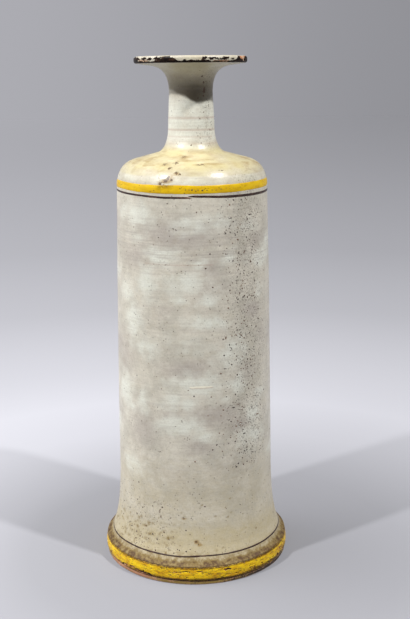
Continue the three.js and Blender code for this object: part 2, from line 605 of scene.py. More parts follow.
def new_piece(name: str, places: Field, faces: Field | list) -> Piece:
    """Makes a smooth mesh and puts it in the scene.

    Args:
        name: The piece's name.
        places: Vertices in millimetres.
        faces: Vertex numbers of each face.

    Returns:
        The new object.
    """
    mesh = bpy.data.meshes.new(name)
    mesh.from_pydata((places.reshape(-1, 3) * MM).tolist(), [], list(map(list, faces)))
    mesh.polygons.foreach_set("use_smooth", np.ones(len(mesh.polygons), bool))
    mesh.update()
    piece = bpy.data.objects.new(name, mesh)
    bpy.context.scene.collection.objects.link(piece)
    return piece


def add_wear(piece: Piece, wear: dict[Wear, Field]) -> None:
    """Writes marks on a piece's first vertices, and none on the rest.

    Args:
        piece: The object.
        wear: One value for each of its first vertices.
    """
    for mark, values in wear.items():
        whole = np.zeros(len(piece.data.vertices), np.float32)
        flat = np.clip(values, 0.0, 1.0).ravel()
        whole[: len(flat)] = flat
        layer = piece.data.attributes.new(mark.value, "FLOAT", "POINT")
        layer.data.foreach_set("value", whole)


def finish_piece(piece: Piece, material: Material, nodes: list[str]) -> None:
    """Dresses a piece, fixes it to the bottle and reports it.

    Args:
        piece: The object.
        material: What it wears.
        nodes: CAD nodes that it stands for.
    """
    piece.data.materials.append(material)
    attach(piece, BODY)
    if nodes:
        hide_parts(*nodes)
    LOG.info("%s: %d faces", piece.name, len(piece.data.polygons))


def ring_faces(rings: int, count: int) -> Field:
    """Lists the faces of a closed tube of rings about the axis.

    Args:
        rings: Number of rings; the last joins the first.
        count: Vertices in each ring.

    Returns:
        Four vertex numbers for each face, facing outward.
    """
    i = np.arange(rings)[:, None]
    j = np.arange(count)[None, :]
    up, on = (i + 1) % rings, (j + 1) % count
    corners = [i * count + j, i * count + on, up * count + on, up * count + j]
    return np.stack([np.broadcast_to(c, (rings, count)) for c in corners], -1).reshape(-1, 4)


@dataclass
class Skin:
    """A closed turned ring with an uneven, worn outer face and a plain back."""

    name: str
    face: Outline
    back: Outline
    count: int

    def places(self) -> Field:
        """Lists the places of the even outer face, in millimetres."""
        return spun(self.face.points, around(self.count))

    def build(self, relief: Field, wear: dict[Wear, Field]) -> Piece:
        """Makes the piece.

        Args:
            relief: How far each place of the face stands out, in millimetres.
            wear: Marks for each place of the face.

        Returns:
            The new object.
        """
        angles = around(self.count)
        out = self.face.normals()[:, None, :] * relief[..., None]
        outer = swung(self.face.points[:, None, :] + out, angles)
        inner = spun(self.back.points[::-1], angles)
        places = np.concatenate([outer, inner])
        piece = new_piece(self.name, places, ring_faces(len(places), self.count))
        add_wear(piece, wear)
        return piece


class Nodes:
    """A short way to lay out shader nodes."""

    def __init__(self, tree: bpy.types.NodeTree) -> None:
        """Empties the tree that the nodes go into."""
        self.tree = tree
        tree.nodes.clear()

    def join(self, value: object, socket: Socket) -> None:
        """Links or sets an input.

        Args:
            value: A socket or a plain value.
            socket: The input.
        """
        if isinstance(value, Socket):
            self.tree.links.new(value, socket)
        elif isinstance(value, tuple) and len(value) == 3 and len(socket.default_value) == 4:
            socket.default_value = (*value, 1.0)
        else:
            socket.default_value = value

    def add(self, kind: str, inputs: dict, **settings: object) -> bpy.types.Node:
        """Adds a node.

        Args:
            kind: Its type, without the common prefix.
            inputs: Values or sockets by input name or number.
            **settings: The node's own properties.

        Returns:
            The new node.
        """
        node = self.tree.nodes.new("ShaderNode" + kind)
        for key, value in settings.items():
            setattr(node, key, value)
        for key, value in inputs.items():
            self.join(value, node.inputs[key])
        return node

    def maths(self, operation: str, a: object, b: object) -> Socket:
        """Works out one value from two."""
        return self.add("Math", {0: a, 1: b}, operation=operation).outputs[0]

    def sum(self, a: object, b: object) -> Socket:
        """Adds two values."""
        return self.maths("ADD", a, b)

    def product(self, a: object, b: object) -> Socket:
        """Multiplies two values."""
        return self.maths("MULTIPLY", a, b)

    def eased(
        self, value: object, low: float, high: float, start: float = 0.0, end: float = 1.0
    ) -> Socket:
        """Maps a value smoothly from one range to another, and holds it there.

        Args:
            value: The value.
            low: The value that becomes the start.
            high: The value that becomes the end.
            start: First end of the new range.
            end: Its other end.

        Returns:
            The mapped value.
        """
        inputs = {"Value": value, "From Min": low, "From Max": high}
        inputs |= {"To Min": start, "To Max": end}
        node = self.add("MapRange", inputs, interpolation_type="SMOOTHSTEP")
        return node.outputs["Result"]

    def blend(self, share: object, a: object, b: object) -> Socket:
        """Blends colour a towards colour b by a share."""
        return self.add("Mix", {0: share, 6: a, 7: b}, data_type="RGBA").outputs[2]

    def level(self, share: object, a: object, b: object) -> Socket:
        """Blends value a towards value b by a share."""
        return self.add("Mix", {0: share, 2: a, 3: b}, data_type="FLOAT").outputs[0]

    def seen(self) -> Socket:
        """Tells what is seen from what gives light.

        Returns:
            1 for what eyes, glosses and clear things see, and 0 for light.
        """
        rays = self.add("LightPath", {}).outputs
        seen = self.maths("MAXIMUM", rays["Is Camera Ray"], rays["Is Glossy Ray"])
        return self.maths("MAXIMUM", seen, rays["Is Transmission Ray"])


class Bench(Nodes):
    """The nodes of one finish. Sizes are millimetres."""

    def __init__(self, name: str) -> None:
        """Starts a material with one shader on it.

        Args:
            name: The material's name.
        """
        self.material = bpy.data.materials.new(name)
        self.material.use_nodes = True
        super().__init__(self.material.node_tree)
        self.shader = self.add("BsdfPrincipled", {})
        self.add("OutputMaterial", {"Surface": self.shader.outputs["BSDF"]})
        self.where = self.add("TexCoord", {}).outputs["Object"]

    def stretched(self, stretch: Triple, shift: float = 0.0) -> Socket:
        """Places a texture in millimetres.

        Args:
            stretch: Squeeze along each axis.
            shift: Moves the pattern.

        Returns:
            The place in the texture.
        """
        scale = tuple(s / MM for s in stretch)
        inputs = {"Vector": self.where, "Scale": scale, "Location": (shift,) * 3}
        return self.add("Mapping", inputs).outputs["Vector"]

    def noise(
        self, size: float, detail: float = 2.0, rough: float = 0.5,
        stretch: Triple = (1.0, 1.0, 1.0), shift: float = 0.0,
    ) -> Socket:
        """Adds noise.

        Args:
            size: Width of its swellings.
            detail: Number of finer layers.
            rough: Strength of the finer layers.
            stretch: Squeeze along each axis.
            shift: Moves the pattern.

        Returns:
            A value around one half.
        """
        where = self.stretched(stretch, shift)
        inputs = {"Vector": where, "Scale": 1 / size, "Detail": detail, "Roughness": rough}
        return self.add("TexNoise", inputs).outputs[0]

    def cells(self, size: float, shift: float = 0.0) -> Socket:
        """Gives the distance from scattered dots' middles, as a share of their spacing."""
        inputs = {"Vector": self.stretched((1.0, 1.0, 1.0), shift), "Scale": 1 / size}
        return self.add("TexVoronoi", inputs).outputs["Distance"]

    def wear(self, mark: Wear) -> Socket:
        """Reads a mark that the skin carries."""
        return self.add("Attribute", {}, attribute_name=mark.value).outputs["Fac"]

    def frayed(
        self, mark: Wear, size: float, fray: float, edge: float = 0.06, shift: float = 0.0
    ) -> Socket:
        """Turns a soft mark into a sharp patch with an uneven edge.

        Args:
            mark: The mark that the skin carries.
            size: Width of the unevenness.
            fray: How strong it is.
            edge: How soft the patch's edge is.
            shift: Moves the pattern.

        Returns:
            A value from 0 outside the patch to 1 inside.
        """
        noise = self.noise(size, 3.0, 0.6, shift=shift)
        grain = self.eased(noise, 0.25, 0.75, -fray, fray)
        return self.eased(self.sum(self.wear(mark), grain), 0.5 - edge, 0.5 + edge)

    def crack(self, web: Socket, width: float) -> Socket:
        """Finds the thin lines along which noise passes through one half.

        Args:
            web: The noise.
            width: Half the range of noise that the lines take up.

        Returns:
            1 in the middle of a line and 0 beside it.
        """
        rising = self.eased(web, 0.5 - width, 0.5)
        falling = self.eased(web, 0.5, 0.5 + width, 1.0, 0.0)
        return self.product(rising, falling)

    def set(self, name: str, value: object) -> None:
        """Sets or links one of the shader's own inputs."""
        self.join(value, self.shader.inputs[name])

    def emboss(self, *heights: Socket) -> None:
        """Bumps the surface by the sum of some heights, in millimetres."""
        total = heights[0]
        for height in heights[1:]:
            total = self.sum(total, height)
        node = self.add("Bump", {"Height": self.product(total, MM), "Distance": 1.0})
        self.set("Normal", node.outputs["Normal"])


@dataclass(frozen=True)
class TinGlaze:
    """Warm white tin glaze, clouded, streaked by the wheel, soiled by use, with painted shade and light.
    """

    name: str = "tin_glaze"
    shade: Colour = (0.485, 0.455, 0.378)
    light: Colour = (0.6, 0.56, 0.47)
    pale: Colour = (0.69, 0.695, 0.61)
    lilac: Colour = (0.387, 0.345, 0.305)
    blush: Colour = (0.4, 0.27, 0.21)
    beige: Colour = (0.45, 0.385, 0.245)
    cream: Colour = (0.5, 0.435, 0.225)
    scraped: Colour = (0.78, 0.74, 0.6)
    ochre: Colour = (0.3, 0.2, 0.075)
    grime: Colour = (0.18, 0.12, 0.035)
    dirt: Colour = (0.075, 0.036, 0.01)
    stain: Colour = (0.08, 0.038, 0.016)
    # Dark brown of the lip's painted shadow on the neck.
    soot: Colour = (0.085, 0.065, 0.032)
    speck: Colour = (0.11, 0.085, 0.065)
    polish: Point = (0.3, 0.44)

    def colour(self, bench: Bench) -> Socket:
        """Lays out the glaze's colour.

        Args:
            bench: The finish that it belongs to.

        Returns:
            The colour's socket.
        """
        clouds = bench.eased(bench.noise(17.0, 4.0, 0.62), 0.36, 0.64)
        colour = bench.blend(clouds, self.shade, self.light)
        veil = bench.noise(5.2, 4.0, 0.66, (1.0, 1.0, 1.25), 15.0)
        grey = bench.sum(bench.wear(Wear.GREY), bench.eased(veil, 0.28, 0.72, 0.16, -0.16))
        colour = bench.blend(bench.eased(grey, 0.05, 1.02, 0.0, 0.88), colour, self.lilac)
        soft = bench.noise(9.0, 2.0, 0.5, (1.0, 1.0, 1.2), 44.0)
        pale = bench.sum(bench.wear(Wear.PALE), bench.eased(soft, 0.25, 0.75, -0.2, 0.2))
        colour = bench.blend(bench.eased(pale, 0.02, 0.98, 0.0, 0.92), colour, self.pale)
        brushed = bench.noise(2.9, 3.0, 0.6, (0.1, 0.1, 2.2), 7.0)
        lines = bench.eased(brushed, 0.3, 0.6, 0.75, 0.0)
        lines = bench.product(lines, bench.wear(Wear.WHEEL))
        colour = bench.blend(lines, colour, self.lilac)
        colour = bench.blend(bench.product(bench.wear(Wear.LINE), 0.9), colour, self.blush)
        aged = bench.sum(bench.wear(Wear.AGED), bench.eased(veil, 0.3, 0.7, 0.16, -0.16))
        colour = bench.blend(bench.product(aged, 0.9), colour, self.beige)
        return self.specked(bench, colour)

    def specked(self, bench: Bench, colour: Socket) -> Socket:
        """Adds fine dark grain and pinholes, thicker where the skin is specked.

        Args:
            bench: The finish that it belongs to.
            colour: The glaze without them.

        Returns:
            The new colour's socket.
        """
        thick = bench.wear(Wear.SPECK)
        grain = bench.eased(bench.noise(1.3, 3.0, 0.75), 0.3, 0.56, 1.0, 0.0)
        amount = bench.product(grain, bench.level(thick, 0.16, 0.5))
        colour = bench.blend(amount, colour, self.speck)
        dots = bench.eased(bench.cells(2.3), 0.14, 0.3, 1.0, 0.0)
        patch = bench.noise(7.0, 2.0, 0.5, shift=60.0)
        reach = bench.eased(bench.sum(patch, bench.product(thick, 0.16)), 0.53, 0.66)
        return bench.blend(bench.product(bench.product(dots, reach), 0.7), colour, self.speck)

    def aged(self, bench: Bench, colour: Socket) -> Socket:
        """Adds creamy tone, stains, soil and the lip's painted shadow on the neck where the skin carries
        them.

        Args:
            bench: The finish that it belongs to.
            colour: The clean glaze.

        Returns:
            The aged colour's socket.
        """
        creamy = bench.eased(bench.noise(6.5, 4.0, 0.65, (0.6, 0.6, 1.6), 5.0), 0.42, 0.7)
        tone = bench.blend(bench.product(creamy, 0.6), self.cream, self.ochre)
        colour = bench.blend(bench.product(bench.wear(Wear.CREAM), 0.92), colour, tone)
        streaky = bench.noise(3.4, 4.0, 0.68, (0.3, 0.3, 1.5), 5.0)
        ochre = bench.sum(bench.wear(Wear.OCHRE), bench.eased(streaky, 0.3, 0.7, -0.3, 0.3))
        colour = bench.blend(bench.eased(ochre, 0.22, 0.95, 0.0, 0.85), colour, self.ochre)
        # The lip's painted shadow on the neck, in dark brown.
        colour = bench.blend(bench.wear(Wear.SOOT), colour, self.soot)
        blot = bench.frayed(Wear.STAIN, 1.1, 0.3, 0.12, 25.0)
        colour = bench.blend(bench.product(blot, 0.9), colour, self.stain)
        scratch = bench.eased(bench.wear(Wear.SCRATCH), 0.25, 0.9, 0.0, 0.95)
        colour = bench.blend(scratch, colour, self.scraped)
        grain = bench.eased(bench.noise(3.6, 4.0, 0.68, shift=25.0), 0.3, 0.7, -0.42, 0.42)
        soil = bench.wear(Wear.SOIL)
        amount = bench.sum(soil, bench.product(soil, grain))
        colour = bench.blend(bench.eased(amount, 0.05, 0.8), colour, self.grime)
        return bench.blend(bench.eased(amount, 0.72, 1.3), colour, self.dirt)

    def emboss(self, bench: Bench) -> None:
        """Adds the wheel's fine lines and a soft orange peel.

        Args:
            bench: The finish that they belong to.
        """
        peel = bench.product(bench.noise(2.6, 2.0, 0.5), 0.1)
        wheel = bench.product(bench.noise(3.0, 2.0, 0.5, (0.08, 0.08, 2.4)), 0.08)
        sand = bench.product(bench.noise(0.7, 2.0, 0.6), 0.02)
        bench.emboss(peel, wheel, sand)

    def material(self) -> Material:
        """Makes the finish.

        Returns:
            Its material.
        """
        bench = Bench(self.name)
        bench.set("Base Color", self.aged(bench, self.colour(bench)))
        gloss = bench.eased(bench.noise(7.0, 3.0, 0.6, shift=3.0), 0.3, 0.7, *self.polish)
        dull = bench.eased(bench.wear(Wear.SOIL), 0.1, 0.8, 0.0, 0.4)
        bench.set("Roughness", bench.sum(gloss, dull))
        self.emboss(bench)
        return bench.material


@dataclass(frozen=True)
class RimGlaze(TinGlaze):
    """The glaze of the lip's edge, with dark paint that has worn off in patches."""

    name: str = "rim_glaze"
    paint: Colour = (0.009, 0.006, 0.005)
    thin_paint: Colour = (0.06, 0.032, 0.02)
    buff: Colour = (0.5, 0.33, 0.22)
    terracotta: Colour = (0.42, 0.18, 0.08)

    def material(self) -> Material:
        """Makes the finish.

        Returns:
            Its material.
        """
        bench = Bench(self.name)
        glaze = self.aged(bench, self.colour(bench))
        tone = bench.eased(bench.noise(2.2, 3.0, 0.6), 0.46, 0.72)
        paint = bench.blend(tone, self.paint, self.thin_paint)
        bare_tone = bench.eased(bench.noise(8.0, 2.0, 0.5, shift=50.0), 0.46, 0.56)
        bare = bench.blend(bare_tone, self.buff, self.terracotta)
        chipped = bench.frayed(Wear.CHIP, 1.1, 0.26)
        colour = bench.blend(chipped, glaze, bare)
        painted = bench.frayed(Wear.PAINT, 1.1, 0.2, 0.08, 70.0)
        bench.set("Base Color", bench.blend(painted, colour, paint))
        gloss = bench.eased(bench.noise(5.0), 0.3, 0.7, *self.polish)
        bench.set("Roughness", bench.level(chipped, gloss, 0.8))
        bench.set("Specular IOR Level", bench.level(painted, 0.3, 0.05))
        self.emboss(bench)
        return bench.material


@dataclass(frozen=True)
class YellowGlaze:
    """Thick antimony yellow, pitted, crazed and chipped through to the clay."""

    name: str = "yellow_glaze"
    bright: Colour = (0.8, 0.54, 0.012)
    deep: Colour = (0.56, 0.3, 0.008)
    thin: Colour = (0.1, 0.047, 0.006)
    pit: Colour = (0.06, 0.03, 0.012)
    soot: Colour = (0.03, 0.014, 0.009)
    terracotta: Colour = (0.27, 0.1, 0.05)
    buff: Colour = (0.45, 0.27, 0.15)
    polish: Point = (0.24, 0.4)
    crazed: bool = True

    def material(self) -> Material:
        """Makes the finish.

        Returns:
            Its material.
        """
        bench = Bench(self.name)
        tone = bench.eased(bench.noise(3.2, 3.0, 0.62, (0.35, 0.35, 1.0)), 0.34, 0.66)
        colour = bench.blend(tone, self.bright, self.deep)
        soil = bench.wear(Wear.SOIL)
        ragged = bench.eased(bench.noise(1.6, 3.0, 0.7, shift=12.0), 0.3, 0.7, 0.6, 1.25)
        # Thin, dirty glaze where the skin is soiled; on the foot's rim this also carries painted shade
        # along its lower edge.
        colour = bench.blend(bench.product(soil, ragged), colour, self.thin)
        dots = bench.eased(bench.cells(1.9, 8.0), 0.12, 0.28, 1.0, 0.0)
        patch = bench.noise(5.0, 2.0, 0.5, shift=33.0)
        reach = bench.sum(patch, bench.product(bench.wear(Wear.SPECK), 0.2))
        pits = bench.product(dots, bench.eased(reach, 0.47, 0.63, 0.0, 0.85))
        colour = bench.blend(pits, colour, self.pit)
        heights = [bench.product(pits, -0.12)]
        chipped = bench.frayed(Wear.CHIP, 1.1, 0.26)
        if self.crazed:
            crack = bench.crack(bench.noise(3.4, 4.0, 0.62, (0.26, 0.26, 1.0), 70.0), 0.017)
            colour = bench.blend(bench.product(crack, 0.9), colour, self.pit)
            heights.append(bench.product(crack, -0.1))
        dark = bench.eased(bench.noise(4.2, 3.0, 0.6, (0.4, 0.4, 1.0), 20.0), 0.44, 0.6)
        warm = bench.eased(bench.noise(2.6, 3.0, 0.6, shift=80.0), 0.47, 0.64)
        bare = bench.blend(warm, self.terracotta, self.buff)
        bare = bench.blend(dark, self.soot, bare)
        bench.set("Base Color", bench.blend(chipped, colour, bare))
        gloss = bench.eased(bench.noise(4.0, 3.0, 0.6), 0.3, 0.7, *self.polish)
        bench.set("Roughness", bench.level(chipped, gloss, 0.8))
        bench.set("Specular IOR Level", 0.2)
        heights.append(bench.product(bench.noise(1.7, 3.0, 0.6), 0.16))
        bench.emboss(*heights)
        return bench.material


@dataclass(frozen=True)
class BrownPaint:
    """Manganese brown line paint, thin enough in places to turn reddish."""

    name: str = "brown_paint"
    thick: Colour = (0.03, 0.015, 0.012)
    thin: Colour = (0.16, 0.075, 0.045)
    polish: Point = (0.3, 0.46)

    def material(self) -> Material:
        """Makes the finish.

        Returns:
            Its material.
        """
        bench = Bench(self.name)
        worn = bench.eased(bench.noise(2.4, 3.0, 0.65, (0.5, 0.5, 1.5)), 0.4, 0.75, -0.2, 0.6)
        tone = bench.eased(bench.sum(worn, bench.wear(Wear.SOIL)), 0.0, 1.0)
        bench.set("Base Color", bench.blend(tone, self.thick, self.thin))
        bench.set("Roughness", bench.eased(bench.noise(4.0), 0.3, 0.7, *self.polish))
        bench.set("Specular IOR Level", 0.3)
        bench.emboss(bench.product(bench.noise(1.2), 0.03))
        return bench.material


@dataclass(frozen=True)
class FiredClay:
    """Bare red clay, gritty, with soot and traces of glaze where it is worn."""

    name: str = "fired_clay"
    red: Colour = (0.36, 0.165, 0.09)
    pale: Colour = (0.5, 0.28, 0.17)
    grit: Colour = (0.6, 0.45, 0.33)
    soot: Colour = (0.035, 0.022, 0.016)
    drip: Colour = (0.25, 0.165, 0.04)
    polish: Point = (0.75, 0.95)

    def material(self) -> Material:
        """Makes the finish.

        Returns:
            Its material.
        """
        bench = Bench(self.name)
        tone = bench.eased(bench.noise(14.0, 4.0, 0.6), 0.35, 0.68)
        colour = bench.blend(tone, self.red, self.pale)
        grit = bench.eased(bench.cells(2.3), 0.1, 0.2, 0.8, 0.0)
        colour = bench.blend(grit, colour, self.grit)
        dark = bench.eased(bench.noise(1.4, 3.0, 0.7, shift=9.0), 0.56, 0.7, 0.0, 0.5)
        colour = bench.blend(dark, colour, self.soot)
        colour = bench.blend(bench.frayed(Wear.PAINT, 1.3, 0.3, 0.15), colour, self.drip)
        # Soiled clay; on the foot this includes the groove and the standing edge, partly painted shade.
        colour = bench.blend(bench.frayed(Wear.SOIL, 1.2, 0.3, 0.2, 40.0), colour, self.soot)
        bench.set("Base Color", colour)
        bench.set("Roughness", bench.eased(bench.noise(3.0), 0.3, 0.7, *self.polish))
        sand = bench.product(bench.noise(0.9, 3.0, 0.7), 0.12)
        bench.emboss(sand, bench.product(grit, 0.08))
        return bench.material


@dataclass(frozen=True)
class IronSpot:
    """Iron in the clay that has burned through the glaze."""

    name: str = "iron_spot"
    dark: Colour = (0.05, 0.036, 0.028)
    rust: Colour = (0.16, 0.085, 0.045)
    polish: Point = (0.4, 0.7)

    def material(self) -> Material:
        """Makes the finish.

        Returns:
            Its material.
        """
        bench = Bench(self.name)
        tone = bench.eased(bench.noise(7.0, 2.0), 0.46, 0.66)
        bench.set("Base Color", bench.blend(tone, self.dark, self.rust))
        bench.set("Roughness", bench.eased(bench.noise(0.5), 0.3, 0.7, *self.polish))
        bench.emboss(bench.product(bench.noise(0.4), 0.03))
        return bench.material


@dataclass(frozen=True)
class StudioFloor:
    """A pale matt sweep, brightest behind the bottle and greyer far away.

    Each of its shades is a distance from the bottle's axis in metres, and how bright the
    floor looks there on its left and on its right. The lamps light a darker floor, so that
    little of their light comes back up to the bottle, and eyes see the rest as a glow. In
    front of the bottle the glow dims, between two places along the floor and to a share. The
    backdrop is how bright the room looks over the floor's far edge, as a share of it.
    """

    name: str = "studio_floor"
    albedo: float = 0.2
    bounced: float = 0.15
    tint: Colour = (1.0, 1.0, 1.08)
    reach: float = 0.25
    eye: float = 0.787
    front: Triple = (0.01, -0.15, 0.8)
    backdrop: float = 0.966
    shades: tuple[Triple, ...] = (
        (0, 0.57, 0.51), (0.13, 0.57, 0.51), (0.18, 0.68, 0.52), (0.276, 0.82, 0.63),
        (0.383, 0.863, 0.716), (0.51, 0.761, 0.665), (0.87, 0.597, 0.509), (1.47, 0.503, 0.413),
        (2.7, 0.458, 0.358), (9, 0.432, 0.296),
    )

    def ramp(self, bench: Bench, share: object, lit: Callable, side: int) -> object:
        """Lays out the glow over the distance from the axis.

        Args:
            bench: The finish that it belongs to.
            share: The distance, as a share of the farthest one.
            lit: Gives the lamps' light on the floor at a distance behind the bottle.
            side: Which of the two shades of each distance is used.

        Returns:
            The colour's socket.
        """
        node = bench.add("ValToRGB", {"Fac": share})
        stops = node.color_ramp.elements
        for i, shade in enumerate(self.shades):
            place = shade[0] / self.shades[-1][0]
            stop = stops[i] if i < 2 else stops.new(place)
            stop.position = place
            glow = max(0.0, shade[side] - self.albedo * lit(shade[0]))
            stop.color = (*(glow * t for t in self.tint), 1.0)
        return node.outputs["Color"]

    def material(self, lit: Callable) -> Material:
        """Makes the finish.

        Args:
            lit: Gives the lamps' light on the floor at a distance behind the bottle.

        Returns:
            The material.
        """
        bench = Bench(self.name)
        length = bench.add("VectorMath", {0: bench.where}, operation="LENGTH").outputs["Value"]
        share = bench.product(length, 1.0 / self.shades[-1][0])
        place = bench.add("SeparateXYZ", {0: bench.where}).outputs
        side = bench.maths("DIVIDE", place["X"], bench.sum(length, self.eye))
        side = bench.eased(side, -self.reach, self.reach)
        left, right = (self.ramp(bench, share, lit, i) for i in (1, 2))
        seen = bench.seen()
        dark, pale = (tuple(a * t for t in self.tint) for a in (self.bounced, self.albedo))
        bench.set("Base Color", bench.blend(seen, dark, pale))
        bench.set("Roughness", 0.9)
        bench.set("Specular IOR Level", 0.0)
        bench.set("Emission Color", bench.blend(side, left, right))
        near, far, dim = self.front
        dimmed = bench.eased(place["Y"], far, near, dim, 1.0)
        bench.set("Emission Strength", bench.product(seen, dimmed))
        bench.material.cycles.emission_sampling = "NONE"
        return bench.material


@dataclass
class ClayCore:
    """The thrown sections inside the bottle, which keep their CAD shapes."""

    clay_nodes: tuple[str, ...] = ("lower_wall", "upper_wall", "shoulder_dome")
    slip_nodes: tuple[str, ...] = ("foot_slip", "floor_slip", "waist_slip", "shoulder_slip", "neck_slip")
    slip: FiredClay = FiredClay(name="luting_slip", red=(0.3, 0.115, 0.06), pale=(0.4, 0.17, 0.1))

    def dress(self, nodes: dict[str, Piece], clay: Material) -> None:
        """Gives the hidden sections and their slip a finish.

        Args:
            nodes: The CAD nodes by name.
            clay: The finish of the sections.
        """
        slip = self.slip.material()
        for names, material in ((self.clay_nodes, clay), (self.slip_nodes, slip)):
            for name in names:
                for place in nodes[name].material_slots:
                    place.material = material
                LOG.info("%s keeps its CAD shape", name)


